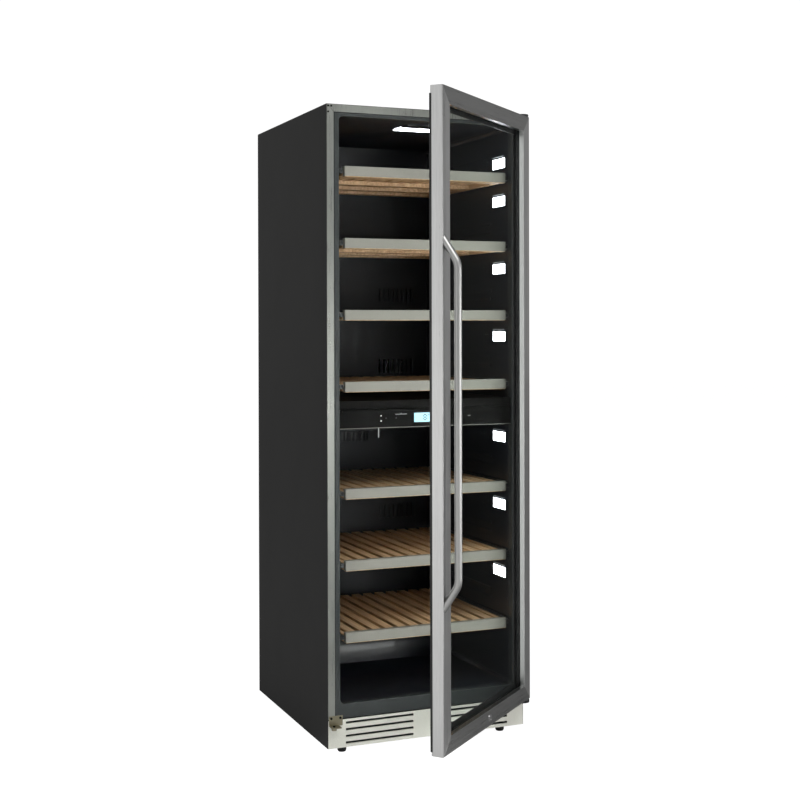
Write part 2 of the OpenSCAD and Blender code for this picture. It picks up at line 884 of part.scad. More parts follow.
module top_hinge_plate() {
    x = cab_w - hinge_w - sheet_t;
    color(black) place() {
        translate([x, -hinge_front, high_hinge_z])
            cube([hinge_w - 0.1, hinge_front + hinge_back, hinge_t - 0.05]);
        translate([pivot_x, -pin_y, high_hinge_z - 21]) cylinder(h = 21.5, r = pin_r);
    }
}

module bottom_hinge_plate() {
    x = cab_w - hinge_w - sheet_t;
    color(black) place() {
        translate([x, -hinge_front, low_hinge_z])
            cube([hinge_w - 0.1, hinge_front + hinge_back, hinge_t]);
        translate([pivot_x, -pin_y, low_hinge_z + 1]) cylinder(h = 21, r = pin_r);
    }
}

module spare_hinge_bracket() {
    z0 = frame_z - 18;
    color("#8d8b80") place()
        difference() {
            union() {
                front_plate(3, z0, 39, 27, -2, -0.1);
                translate([3, -30, z0]) cube([26, 29, 3]);
                translate([pin_x, -pin_y, z0 - 6]) cylinder(h = 8, r = 7);
            }
            translate([pin_x, -pin_y, z0 - 7]) cylinder(h = 12, r = pin_r + run_gap);
            for (x = [9, 35])
                translate([x, 1, frame_z + 3]) rotate([90, 0, 0]) cylinder(h = 5, r = 2.2);
        }
}

module cabinet_screws() {
    color(steel) place() {
        for (x = [5, 14]) front_screw(x, -0.02, cab_h - 6, 2.6);
        front_screw(5, -0.02, cab_h - 22, 2.6);
        for (x = [9, 35]) front_screw(x, -2.05, frame_z + 3, 3.4);
        for (x = [mouth_in + 10, cab_w - mouth_in - 22])
            front_screw(x, trim_set - 0.02, divider_low + fascia_h - 4, 2);
    }
}

// A levelling foot: a pad that rests on the floor and a threaded stem in the base pan.
module foot(x, y) {
    color(black) place()
        translate([x, y, 0]) {
            cylinder(h = 3, r = foot_d / 2 - 1.5);
            translate([0, 0, 3]) cylinder(h = 9, r = foot_d / 2);
            translate([0, 0, 12]) cylinder(h = base_z - 12.2, r = foot_d / 2 - 3);
            cylinder(h = base_z + 24, r = stem_d / 2);
        }
}

module foot_front_left() { foot(foot_in_x, foot_in_y); }
module foot_front_right() { foot(cab_w - foot_in_x, foot_in_y); }
module foot_rear_left() { foot(foot_in_x, cab_d - foot_in_y); }
module foot_rear_right() { foot(cab_w - foot_in_x, cab_d - foot_in_y); }

// ---------- door ----------

// The section of the steel trim, with x from the door's edge inwards and y from its face.
module trim_section() {
    square([trim_t, door_t]);
    square([stile_w, trim_t]);
    translate([stile_w - trim_t, 0]) square([trim_t, glass_set - 0.1]);
}

// An upright length of trim along the left edge, mitred at both ends.
module stile_bar() {
    intersection() {
        translate([0, door_face, door_z]) linear_extrude(door_h) trim_section();
        front_sheet(door_face - 1, door_back + 1)
            translate([0, door_z])
                polygon([[0, 0], [stile_w + 1, stile_w + 1],
                         [stile_w + 1, door_h - stile_w - 1], [0, door_h]]);
    }
}

// A level length of trim along the bottom edge, mitred at both ends.
module rail_bar() {
    intersection() {
        translate([0, door_face, door_z])
            mirror([0, 0, 1]) rotate([0, 90, 0]) linear_extrude(cab_w) trim_section();
        front_sheet(door_face - 1, door_back + 1)
            translate([0, door_z])
                polygon([[0, 0], [cab_w, 0], [cab_w - stile_w - 1, stile_w + 1],
                         [stile_w + 1, stile_w + 1]]);
    }
}

// Turns a bottom or left piece of the door into its partner on the other side.
module to_right() {
    translate([cab_w, 0, 0]) mirror([1, 0, 0]) children();
}

module to_top() {
    translate([0, 0, 2 * door_z + door_h]) mirror([0, 0, 1]) children();
}

module door_free_stile() {
    color(steel) swing() stile_bar();
}

module door_hinge_stile() {
    color(steel) swing() to_right() stile_bar();
}

module door_top_rail() {
    color(steel) swing()
        difference() {
            to_top() rail_bar();
            pin_bore();
        }
}

module door_bottom_rail() {
    color(steel) swing()
        difference() {
            rail_bar();
            pin_bore();
            lock_bore();
        }
}

// The bores for the hinge pins, from below the door to above it.
module pin_bore() {
    for (z = [door_z - 1, door_z + door_h - 26])
        translate([pivot_x, -pin_y, z]) cylinder(h = 27, r = pin_r + run_gap);
}

// The bore for the lock barrel.
module lock_bore() {
    translate([lock_x, door_face + 8, lock_z])
        rotate([90, 0, 0]) cylinder(h = 12, r = lock_d / 2 + run_gap);
}

// A ring seen from the front, with its outer edge in by e and its inner edge in by e + w.
module door_ring(e, w, y0, y1) {
    difference() {
        front_plate(e, door_z + e, cab_w - 2 * e, door_h - 2 * e, y0, y1);
        front_plate(e + w, door_z + e + w, cab_w - 2 * (e + w), door_h - 2 * (e + w),
                    y0 - eps, y1 + eps);
    }
}

module door_core() {
    in = trim_t + 0.1;
    mid = stile_w - trim_t - 0.2;
    color(black) swing()
        difference() {
            union() {
                door_ring(in, mid - in, door_face + in, glass_y - 0.1);
                door_ring(in, pane_in - in - 0.2, glass_y - 0.2, lip_y + 0.1);
                door_ring(in, lip_back_w - in, lip_y, door_back);
            }
            pin_bore();
            translate([lock_x, glass_y + 4, lock_z])
                rotate([90, 0, 0]) cylinder(h = 17, r = 17);
        }
}

// One pane of the glazing unit.
module pane(y) {
    front_plate(pane_in, door_z + pane_in, cab_w - 2 * pane_in, door_h - 2 * pane_in,
                y + 0.02, y + pane_t - 0.02);
}

module door_outer_glass() {
    color([0.8, 0.9, 0.9, 0.3]) swing() pane(glass_y);
}

module door_inner_glass() {
    color([0.8, 0.9, 0.9, 0.3]) swing() pane(inner_y);
}

module glass_spacer() {
    color(black) swing() door_ring(pane_in + 1, 9, spacer_y, inner_y);
}

module door_gasket() {
    color(black) swing()
        door_ring(gasket_in, gasket_w, door_back + 0.02, -gasket_gap);
}

// The tube handle: a straight bar and two arms that lean back to the door's face.
module door_handle() {
    half = handle_len / 2;
    bar = handle_len - 2 * tangent + 2 * lap;
    color(steel) swing()
        difference() {
            translate([handle_in, handle_y, handle_mid_z]) {
                cylinder(h = bar, r = handle_d / 2, center = true);
                handle_end(half);
                mirror([0, 0, 1]) handle_end(half);
            }
            translate([-50, door_face - 0.02, 0]) cube([150, 100, cab_h]);
        }
}

// The bend and the arm at the top of the handle. The bend is a hair fatter than the
// straight tube, which runs a little way into it.
module handle_end(half) {
    translate([0, handle_r, half - tangent])
        rotate([0, 0, -90]) rotate([90, 0, 0])
            rotate_extrude(angle = handle_bend, $fn = 96)
                translate([handle_r, 0]) circle(r = handle_d / 2 + 0.03);
    translate([0, handle_r * (1 - cos(handle_bend)),
               half - tangent + handle_r * sin(handle_bend)])
        rotate([-handle_bend, 0, 0])
            translate([0, 0, -lap]) cylinder(h = arm_len, r = handle_d / 2);
}

module lock_barrel() {
    color("#d8d8d8") swing()
        translate([lock_x, door_face - 1.4, lock_z])
            rotate([-90, 0, 0])
                difference() {
                    union() {
                        cylinder(h = glass_set - 2, r = lock_d / 2);
                        translate([-5, -4, glass_set - 3]) cube([20, 8, 3]);
                    }
                    translate([-1, -4.5, -eps]) cube([2, 9, 5]);
                }
}

// ---------- what is drawn ----------

module rack_1_trim() { rack_trim(0); }
module rack_2_trim() { rack_trim(1); }
module rack_3_trim() { rack_trim(2); }
module rack_4_trim() { rack_trim(3); }
module rack_5_trim() { rack_trim(4); }
module rack_6_trim() { rack_trim(5); }
module rack_7_trim() { rack_trim(6); }
module rack_1_slats() { rack_slats(0); }
module rack_2_slats() { rack_slats(1); }
module rack_3_slats() { rack_slats(2); }
module rack_4_slats() { rack_slats(3); }
module rack_5_slats() { rack_slats(4); }
module rack_6_slats() { rack_slats(5); }
module rack_7_slats() { rack_slats(6); }

left_side_panel();
right_side_panel();
top_panel();
rear_panel();
base_pan();
plinth_grille();
face_frame();
breaker_frame();
foam_insulation();
inner_liner();
zone_divider();
control_fascia();
display_window();
control_board();
upper_duct_cover();
lower_duct_cover();
evaporators();
light_lenses();
outer_rails();
compressor();
condenser();
refrigerant_lines();
drip_tray();
power_inlet();
top_hinge_plate();
bottom_hinge_plate();
spare_hinge_bracket();
cabinet_screws();
upper_fan();
lower_fan();
condenser_fan();
foot_front_left();
foot_front_right();
foot_rear_left();
foot_rear_right();
door_free_stile();
door_hinge_stile();
door_top_rail();
door_bottom_rail();
door_core();
door_outer_glass();
door_inner_glass();
glass_spacer();
door_gasket();
door_handle();
lock_barrel();
rack_1_trim();
rack_2_trim();
rack_3_trim();
rack_4_trim();
rack_5_trim();
rack_6_trim();
rack_7_trim();
rack_1_slats();
rack_2_slats();
rack_3_slats();
rack_4_slats();
rack_5_slats();
rack_6_slats();
rack_7_slats();
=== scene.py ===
"""A two-zone wine cooler with a glass door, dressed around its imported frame.

Sizes are in metres in the frame's axes: +X to the right, +Y to the back and +Z up.
Each sub-assembly is a class that shapes its pieces and gives them their finishes.
"""

import json
import logging
import math
from abc import ABC, abstractmethod
from dataclasses import dataclass, field
from enum import Enum
from functools import lru_cache

import bmesh
import bpy
from mathutils import Matrix, Vector


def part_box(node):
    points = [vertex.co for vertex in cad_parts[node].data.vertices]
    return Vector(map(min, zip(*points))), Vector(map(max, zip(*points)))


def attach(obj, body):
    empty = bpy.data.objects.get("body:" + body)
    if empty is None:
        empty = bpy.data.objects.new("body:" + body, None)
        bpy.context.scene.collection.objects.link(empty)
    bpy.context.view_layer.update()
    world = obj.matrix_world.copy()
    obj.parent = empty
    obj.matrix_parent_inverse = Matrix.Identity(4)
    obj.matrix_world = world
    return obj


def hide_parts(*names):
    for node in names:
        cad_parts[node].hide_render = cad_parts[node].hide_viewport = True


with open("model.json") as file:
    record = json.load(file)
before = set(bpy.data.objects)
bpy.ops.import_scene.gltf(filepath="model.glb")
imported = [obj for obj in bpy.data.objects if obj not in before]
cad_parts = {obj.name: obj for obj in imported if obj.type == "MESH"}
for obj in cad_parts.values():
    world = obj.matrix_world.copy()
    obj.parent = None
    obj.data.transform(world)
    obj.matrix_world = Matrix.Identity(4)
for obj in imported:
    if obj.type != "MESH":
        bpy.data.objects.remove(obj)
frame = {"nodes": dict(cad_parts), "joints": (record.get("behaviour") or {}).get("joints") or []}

log = logging.getLogger("wine_cooler")

Rgb = tuple[float, float, float]
Wire = bpy.types.NodeSocket
Shape = bmesh.types.BMesh
Verts = list[bmesh.types.BMVert]

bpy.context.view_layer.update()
FRONT_LEFT = Vector((*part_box("left_side_panel")[0].xy, 0.0))

ROUND_STEPS = 2
ROUND_ABOVE = math.radians(32.0)
ROD_STEPS = 24
RING_STEPS = 32
SHADE_SHARP = math.radians(38.0)
MERGE_REACH = 2e-6
FLAT_WITHIN = math.radians(0.4)
WEIGHTED_BELOW = 20000
WHITE = (1.0, 1.0, 1.0, 1.0)


def spot(x: float, y: float, z: float) -> Vector:
    """A point given from the cabinet's front left corner on the floor."""
    return FRONT_LEFT + Vector((x, y, z))


def tone(code: str) -> Rgb:
    """Turns a colour code such as "#2a2a28" into scene-linear red, green and blue."""
    parts = [int(code[i : i + 2], 16) / 255 for i in (1, 3, 5)]
    return tuple(p / 12.92 if p <= 0.04045 else ((p + 0.055) / 1.055) ** 2.4 for p in parts)


def shade(colour: Rgb, by: float) -> Rgb:
    """A colour made darker or lighter, up to white."""
    return tuple(min(1.0, by * part) for part in colour)


def joint(name: str) -> dict:
    """A joint's record, by its name."""
    return next(record for record in frame["joints"] if record["name"] == name)


def door_swing() -> Matrix:
    """The turn that carries a piece of the shut door to where the frame holds it open.

    Returns:
        The turn about the hinge's pin.
    """
    hinge = joint("door_hinge")
    pin = Matrix.Translation(Vector(hinge["pos_m"]))
    return pin @ Matrix.Rotation(math.radians(-hinge["range_deg"][0]), 4, "Z") @ pin.inverted()


# ---------- node building ----------


class Graph:
    """A node tree with short calls for the nodes that the finishes need."""

    def __init__(self, tree: bpy.types.NodeTree) -> None:
        """Keeps the tree that the calls add to."""
        self.tree = tree

    def node(self, kind: str, feeds: dict[str | int, object] | None = None,
             **settings: object) -> bpy.types.Node:
        """Adds a node.

        Args:
            kind: the node's type name.
            feeds: what goes into each input, a socket or a value, by input name or number.
            settings: properties of the node itself.

        Returns:
            The new node.
        """
        made = self.tree.nodes.new(kind)
        for key, value in settings.items():
            setattr(made, key, value)
        for key, value in (feeds or {}).items():
            if isinstance(value, Wire):
                self.tree.links.new(value, made.inputs[key])
            else:
                made.inputs[key].default_value = value
        return made

    def maths(self, operation: str, first: Wire | float, second: Wire | float = 0.0) -> Wire:
        """One step of arithmetic, held between 0 and 1."""
        feeds = {0: first, 1: second}
        return self.node("ShaderNodeMath", feeds, operation=operation, use_clamp=True).outputs[0]

    def mix(self, share: Wire | float, low: Wire | Rgb, high: Wire | Rgb) -> Wire:
        """Blends two colours.

        Args:
            share: how much of the second colour shows.
            low: the first colour.
            high: the second colour.

        Returns:
            The blended colour.
        """
        feeds = {0: share}
        for socket, colour in ((6, low), (7, high)):
            feeds[socket] = (*colour, 1.0) if isinstance(colour, tuple) else colour
        return self.node("ShaderNodeMix", feeds, data_type="RGBA").outputs[2]

    def span(self, value: Wire, low: float, high: float, start: float = 0.0, end: float = 1.0) -> Wire:
        """Maps a value from start..end to low..high."""
        feeds = {"Value": value, "From Min": start, "From Max": end, "To Min": low, "To Max": high}
        return self.node("ShaderNodeMapRange", feeds).outputs[0]

    def blend(self, value: Wire, by: Wire | float, more: Wire) -> Wire:
        """A value times another, plus a third."""
        feeds = {0: value, 1: by, 2: more}
        return self.node("ShaderNodeMath", feeds, operation="MULTIPLY_ADD").outputs[0]

    def noise(self, place: Wire, scale: Wire | float, detail: float = 2.0) -> Wire:
        """Smooth noise between 0 and 1."""
        feeds = {"Vector": place, "Scale": scale, "Detail": detail}
        return self.node("ShaderNodeTexNoise", feeds).outputs["Fac"]

    def bump(self, height: Wire, strength: float, depth: float) -> Wire:
        """A normal raised by a height."""
        feeds = {"Height": height, "Strength": strength, "Distance": depth}
        return self.node("ShaderNodeBump", feeds).outputs[0]

    def stretched(self, place: Wire, scale: Vector, turn: float = 0.0) -> Wire:
        """Turns coordinates about Z and stretches them."""
        turned = self.node("ShaderNodeMapping", {"Vector": place, "Rotation": (0.0, 0.0, turn)})
        return self.node("ShaderNodeMapping", {"Vector": turned.outputs[0], "Scale": scale}).outputs[0]

    def use(self, effect: "Effect", **feeds: object) -> bpy.types.Node:
        """Places a shared effect with its own values.

        Args:
            effect: which of the shared effects.
            feeds: what goes into each of its inputs, a socket or a value.

        Returns:
            The group's node.
        """
        named = {key.title(): value for key, value in feeds.items()}
        return self.node("ShaderNodeGroup", named, node_tree=effect_group(effect))


class Effect(Enum):
    """The shared surface effects, each of them one node group."""

    PEEL = "Fine Peel"
    BRUSH = "Brushed Grain"
    MARKS = "Handling Marks"
    DUST = "Settled Dust"
    RUB = "Edge Rub"
    BEECH = "Beech Grain"


EFFECT_INPUTS = {
    Effect.PEEL: {"Place": None, "Scale": 900.0},
    Effect.BRUSH: {"Place": None, "Fineness": 1600.0},
    Effect.MARKS: {"Place": None, "Scale": 6.0, "Contrast": 0.5},
    Effect.DUST: {"Place": None, "Amount": 0.2},
    Effect.RUB: {"Place": None, "Amount": 0.5},
    Effect.BEECH: {"Place": None, "Board": 0.0385},
}
EFFECT_OUTPUTS = {
    Effect.PEEL: ("Height", "Shade"),
    Effect.BRUSH: ("Height", "Shade"),
    Effect.MARKS: ("Mask",),
    Effect.DUST: ("Mask",),
    Effect.RUB: ("Mask",),
    Effect.BEECH: ("Height", "Grain", "Board Tone"),
}


def wire_peel(graph: Graph, given: dict[str, Wire]) -> tuple[Wire, ...]:
    """Orange peel and moulded texture: a fine noise over a broader one.

    Args:
        graph: the group's graph.
        given: the group's inputs by name.

    Returns:
        The height and the shade.
    """
    fine = graph.noise(given["Place"], given["Scale"], 3.0)
    wide = graph.noise(given["Place"], 70.0, 1.0)
    return graph.blend(wide, 0.6, fine), graph.span(fine, 0.0, 1.0, 0.3, 0.7)


def wire_brush(graph: Graph, given: dict[str, Wire]) -> tuple[Wire, ...]:
    """Brushing lines on coordinates that are already stretched along the grain.

    Args:
        graph: the group's graph.
        given: the group's inputs by name.

    Returns:
        The height and the shade.
    """
    fine = graph.noise(given["Place"], given["Fineness"], 4.0)
    broad = graph.noise(given["Place"], 130.0, 2.0)
    return fine, graph.span(graph.blend(broad, 0.5, fine), 0.0, 1.0, 0.55, 0.95)


def wire_marks(graph: Graph, given: dict[str, Wire]) -> tuple[Wire, ...]:
    """Soft cloudy patches left by wiping and handling.

    Args:
        graph: the group's graph.
        given: the group's inputs by name.

    Returns:
        The mask.
    """
    cloud = graph.noise(given["Place"], given["Scale"], 5.0)
    patch = graph.span(cloud, 0.0, 1.0, 0.38, 0.66)
    return (graph.maths("MULTIPLY", patch, given["Contrast"]),)


def wire_dust(graph: Graph, given: dict[str, Wire]) -> tuple[Wire, ...]:
    """Dust that settles where a surface faces up.

    Args:
        graph: the group's graph.
        given: the group's inputs by name.

    Returns:
        The mask.
    """
    normal = graph.node("ShaderNodeNewGeometry").outputs["Normal"]
    upward = graph.node("ShaderNodeSeparateXYZ", {0: normal}).outputs[2]
    facing = graph.span(upward, 0.0, 1.0, 0.55, 1.0)
    speck = graph.span(graph.noise(given["Place"], 45.0, 6.0), 0.0, 1.0, 0.4, 0.75)
    return (graph.maths("MULTIPLY", graph.maths("MULTIPLY", facing, speck), given["Amount"]),)


def wire_rub(graph: Graph, given: dict[str, Wire]) -> tuple[Wire, ...]:
    """Wear along the softened edges, which carry the edge attribute.

    Args:
        graph: the group's graph.
        given: the group's inputs by name.

    Returns:
        The mask.
    """
    edge = graph.node("ShaderNodeAttribute", attribute_name="edge").outputs["Fac"]
    broken = graph.span(graph.noise(given["Place"], 60.0, 4.0), 0.35, 1.0, 0.35, 0.65)
    return (graph.maths("MULTIPLY", graph.maths("MULTIPLY", edge, broken), given["Amount"]),)


def wire_beech(graph: Graph, given: dict[str, Wire]) -> tuple[Wire, ...]:
    """Beech grain that runs from front to back, with its own tone on each board.

    Args:
        graph: the group's graph.
        given: the group's inputs by name.

    Returns:
        The height, the grain and the tone of each board.
    """
    parts = graph.node("ShaderNodeSeparateXYZ", {0: given["Place"]})
    count = graph.node("ShaderNodeMath", {0: parts.outputs[0], 1: given["Board"]}, operation="DIVIDE")
    board = graph.node("ShaderNodeMath", {0: count.outputs[0]}, operation="ROUND").outputs[0]
    level = graph.node("ShaderNodeMath", {0: parts.outputs[2], 1: 0.1}, operation="SNAP").outputs[0]
    seed = graph.node("ShaderNodeCombineXYZ", {0: board, 1: 0.37, 2: level}).outputs[0]
    drawn = graph.node("ShaderNodeTexWhiteNoise", {"Vector": seed}, noise_dimensions="3D")
    shifted = graph.node("ShaderNodeVectorMath", {0: given["Place"], 1: drawn.outputs["Color"]})
    lanes = graph.stretched(shifted.outputs[0], (1.0, 0.035, 1.0))
    wide = graph.noise(lanes, 120.0, 3.0)
    fleck = graph.noise(graph.stretched(shifted.outputs[0], (1.0, 0.09, 1.0)), 900.0, 2.0)
    pores = graph.span(fleck, 0.0, 1.0, 0.56, 0.7)
    grain = graph.maths("ADD", graph.span(wide, 0.0, 0.7, 0.35, 0.68), graph.maths("MULTIPLY", pores, 0.4))
    return fleck, grain, drawn.outputs["Value"]


EFFECT_WIRING = {
    Effect.PEEL: wire_peel,
    Effect.BRUSH: wire_brush,
    Effect.MARKS: wire_marks,
    Effect.DUST: wire_dust,
    Effect.RUB: wire_rub,
    Effect.BEECH: wire_beech,
}


@lru_cache(maxsize=None)
def effect_group(effect: Effect) -> bpy.types.NodeTree:
    """Builds an effect's node group on first use.

    Args:
        effect: which of the shared effects.

    Returns:
        The node group.
    """
    tree = bpy.data.node_groups.new(effect.value, "ShaderNodeTree")
    for name, default in EFFECT_INPUTS[effect].items():
        kind = "NodeSocketVector" if default is None else "NodeSocketFloat"
        socket = tree.interface.new_socket(name=name, in_out="INPUT", socket_type=kind)
        if default is not None:
            socket.default_value = default
    for name in EFFECT_OUTPUTS[effect]:
        tree.interface.new_socket(name=name, in_out="OUTPUT", socket_type="NodeSocketFloat")
    graph = Graph(tree)
    entry = graph.node("NodeGroupInput")
    wires = EFFECT_WIRING[effect](graph, {name: entry.outputs[name] for name in EFFECT_INPUTS[effect]})
    leave = graph.node("NodeGroupOutput")
    for name, wire in zip(EFFECT_OUTPUTS[effect], wires):
        tree.links.new(wire, leave.inputs[name])
    return tree


# ---------- finishes ----------


class GrainWay(Enum):
    """Which way a brushed surface is brushed: the stretch, and whether it turns with the door."""

    UPRIGHT = ((1.0, 1.0, 0.012), False)
    DOOR_ACROSS = ((0.012, 1.0, 1.0), True)


@dataclass(frozen=True)
class Finish(ABC):
    """A surface finish: its name, its main colour and how rough it is."""

    name: str
    colour: str
    roughness: float

    def material(self) -> bpy.types.Material:
        """The finish's material, made on first use.

        Returns:
            The material.
        """
        found = bpy.data.materials.get(self.name)
        if found:
            return found
        made = bpy.data.materials.new(self.name)
        made.use_nodes = True
        made.node_tree.nodes.clear()
        graph = Graph(made.node_tree)
        shader = self.shader(graph, graph.node("ShaderNodeTexCoord").outputs["Object"])
        graph.node("ShaderNodeOutputMaterial", {"Surface": shader})
        return made

    @abstractmethod
    def shader(self, graph: Graph, place: Wire) -> Wire:
        """Builds the finish's shader on the object's coordinates.

        Args:
            graph: the material's graph.
            place: the object's coordinates.

        Returns:
            The shader.
        """


@dataclass(frozen=True)
class CoatedFinish(Finish):
    """Paint, powder coat, moulded plastic, rubber or cast metal."""

    grain: float = 900.0
    depth: float = 0.00004
    metallic: float = 0.0
    coat: float = 0.0
    dust: float = 0.12
    rub: float = 0.25
    rub_colour: str = "#6a6a68"
    marks: float = 0.5
    specular: float = 0.5
    cloud: float = 7.0
    speckle: tuple[float, float] = (0.9, 1.08)
    dust_colour: str = "#8a8780"
    smeared: float = 0.1

    def shader(self, graph: Graph, place: Wire) -> Wire:
        """Colour with marks, dust and rubbed edges over a fine peel.

        Args:
            graph: the material's graph.
            place: the object's coordinates.

        Returns:
            The shader.
        """
        base = tone(self.colour)
        peel = graph.use(Effect.PEEL, place=place, scale=self.grain)
        marks = graph.use(Effect.MARKS, place=place, scale=self.cloud, contrast=self.marks).outputs[0]
        dust = graph.use(Effect.DUST, place=place, amount=self.dust).outputs[0]
        rub = graph.use(Effect.RUB, place=place, amount=self.rub).outputs[0]
        speckled = graph.mix(peel.outputs["Shade"], *[shade(base, by) for by in self.speckle])
        smeared = graph.mix(marks, speckled, tuple(1.12 * c + 0.001 for c in base))
        dusty = graph.mix(dust, smeared, tone(self.dust_colour))
        colour = graph.mix(rub, dusty, tone(self.rub_colour))
        rough = graph.span(marks, self.roughness, min(1.0, self.roughness + self.smeared))
        bump = graph.bump(peel.outputs["Height"], 1.0, self.depth)
        feeds = {"Base Color": colour, "Roughness": rough, "Metallic": self.metallic, "Normal": bump,
                 "Coat Weight": self.coat, "Specular IOR Level": self.specular}
        return graph.node("ShaderNodeBsdfPrincipled", feeds).outputs[0]


@dataclass(frozen=True)
class BrushedFinish(Finish):
    """Brushed steel or aluminium."""

    way: GrainWay = GrainWay.UPRIGHT
    depth: float = 0.00002
    contrast: float = 0.14
    fineness: float = 1600.0
    cloud: float = 9.0
    marks: float = 0.6
    rub: float = 0.6
    rubbed: float = 1.25
    streaks: tuple[float, float] = (-0.05, 0.07)
    smeared: float = 0.06
    relief: float = 0.6

    def shader(self, graph: Graph, place: Wire) -> Wire:
        """Metal with brushing lines, handling marks and brighter rubbed edges.

        Args:
            graph: the material's graph.
            place: the object's coordinates.

        Returns:
            The shader.
        """
        base = tone(self.colour)
        stretch, with_door = self.way.value
        turn = door_swing().inverted().to_euler().z if with_door else 0.0
        lanes = graph.stretched(place, stretch, turn)
        brush = graph.use(Effect.BRUSH, place=lanes, fineness=self.fineness)
        marks = graph.use(Effect.MARKS, place=place, scale=self.cloud, contrast=self.marks).outputs[0]
        rub = graph.use(Effect.RUB, place=place, amount=self.rub).outputs[0]
        low, high = 1.0 - self.contrast, 1.0 + self.contrast / 2
        lined = graph.mix(brush.outputs["Shade"], shade(base, low), shade(base, high))
        colour = graph.mix(rub, lined, shade(base, self.rubbed))
        streaky = graph.span(brush.outputs["Shade"], *[self.roughness + more for more in self.streaks])
        rough = graph.blend(marks, self.smeared, streaky)
        bump = graph.bump(brush.outputs["Height"], self.relief, self.depth)
        feeds = {"Base Color": colour, "Roughness": rough, "Metallic": 1.0, "Normal": bump}
        return graph.node("ShaderNodeBsdfPrincipled", feeds).outputs[0]


@dataclass(frozen=True)
class BeechFinish(Finish):
    """Oiled beech with its grain from front to back."""

    dark: str = "#a9825a"
    board: float = 0.0385
    board_tone: float = 0.8
    cloud: float = 14.0
    marks: float = 0.5
    stain: float = 0.25
    open_grain: float = 0.15
    relief: float = 0.7
    pore_depth: float = 0.00012

    def shader(self, graph: Graph, place: Wire) -> Wire:
        """Wood with grain, pores and a tone of its own on each board.

        Args:
            graph: the material's graph.
            place: the object's coordinates.

        Returns:
            The shader.
        """
        beech = graph.use(Effect.BEECH, place=place, board=self.board)
        marks = graph.use(Effect.MARKS, place=place, scale=self.cloud, contrast=self.marks).outputs[0]
        base = tone(self.colour)
        light = graph.mix(beech.outputs["Board Tone"], base, shade(base, self.board_tone))
        grained = graph.mix(beech.outputs["Grain"], light, tone(self.dark))
        colour = graph.mix(graph.maths("MULTIPLY", marks, self.stain), grained, tone(self.dark))
        rough = graph.span(beech.outputs["Grain"], self.roughness, self.roughness + self.open_grain)
        bump = graph.bump(beech.outputs["Height"], self.relief, self.pore_depth)
        feeds = {"Base Color": colour, "Roughness": rough, "Normal": bump}
        return graph.node("ShaderNodeBsdfPrincipled", feeds).outputs[0]


@dataclass(frozen=True)
class GlassFinish(Finish):
    """Clear glass with an anti-reflection coating, so that its index is low."""

    index: float = 1.04
    cloud: float = 5.0
    wiped: str = "#fbfcfb"
    smear: float = 0.012
    shadow_tint: Rgb = (0.94, 0.96, 0.95)

    def shader(self, graph: Graph, place: Wire) -> Wire:
        """Glass with faint wiping marks, see-through for shadows.

        Args:
            graph: the material's graph.
            place: the object's coordinates.

        Returns:
            The shader.
        """
        marks = graph.use(Effect.MARKS, place=place, scale=self.cloud, contrast=1.0).outputs[0]
        rough = graph.span(marks, self.roughness, self.roughness + self.smear)
        colour = graph.mix(marks, tone(self.colour), tone(self.wiped))
        feeds = {"Base Color": colour, "Roughness": rough, "Metallic": 0.0, "Transmission Weight": 1.0,
                 "IOR": self.index}
        glass = graph.node("ShaderNodeBsdfPrincipled", feeds).outputs[0]
        clear = graph.node("ShaderNodeBsdfTransparent", {"Color": (*self.shadow_tint, 1.0)}).outputs[0]
        shadow = graph.node("ShaderNodeLightPath").outputs["Is Shadow Ray"]
        return graph.node("ShaderNodeMixShader", {0: shadow, 1: glass, 2: clear}).outputs[0]


@dataclass(frozen=True)
class GlowFinish(Finish):
    """A lit surface: a light's diffuser, a display or an indicator, or a visor whose glow is painted light
    standing for the lamp's light falling on it.
    """

    glow: float = 1.0
    cells: float = 320.0
    fade: float = 0.12
    faded: float = 0.6
    cloud: float = 25.0
    relief: float = 0.5
    prism_depth: float = 0.0002

    def shader(self, graph: Graph, place: Wire) -> Wire:
        """Plastic lit from behind through a fine prism pattern; on the visors this glow is painted light, not
        a lamp.

        Args:
            graph: the material's graph.
            place: the object's coordinates.

        Returns:
            The shader.
        """
        base = tone(self.colour)
        cell = graph.node("ShaderNodeTexVoronoi", {"Vector": place, "Scale": self.cells}).outputs["Distance"]
        cloud = graph.use(Effect.MARKS, place=place, scale=self.cloud, contrast=self.fade).outputs[0]
        colour = graph.mix(cloud, base, shade(base, self.faded))
        bump = graph.bump(cell, self.relief, self.prism_depth)
        feeds = {"Base Color": colour, "Roughness": self.roughness, "Normal": bump,
                 "Emission Color": colour, "Emission Strength": self.glow}
        return graph.node("ShaderNodeBsdfPrincipled", feeds).outputs[0]


BLACK_PANEL = CoatedFinish("black panel paint", "#1a1a19", 0.42, grain=1100.0, depth=0.00003, dust=0.05,
                           marks=0.15, specular=0.28)
DARK_SHEET = CoatedFinish("dark galvanised sheet", "#3b3d3c", 0.5, metallic=0.6, rub=0.5,
                          rub_colour="#8d8f8d")
PLINTH = CoatedFinish("plinth off-white", "#ebebe0", 0.38, grain=1000.0, dust=0.08, rub_colour="#e6e6de")
FRAME_STEEL = BrushedFinish("front frame steel", "#a9aba5", 0.3, depth=0.00001, contrast=0.05)
LIP_PLASTIC = CoatedFinish("liner lip plastic", "#343838", 0.3, coat=0.2, dust=0.06, rub_colour="#6f7777")
FOAM = CoatedFinish("blown foam", "#d9c98f", 0.9, grain=350.0, depth=0.0004, dust=0.0, rub=0.0)
LINER_PLASTIC = CoatedFinish("liner plastic", "#171a21", 0.28, grain=700.0, depth=0.00003, coat=0.15,
                             dust=0.04)
DUCT_PLASTIC = CoatedFinish("duct plastic", "#161a20", 0.5, grain=700.0, depth=0.00005, dust=0.04)
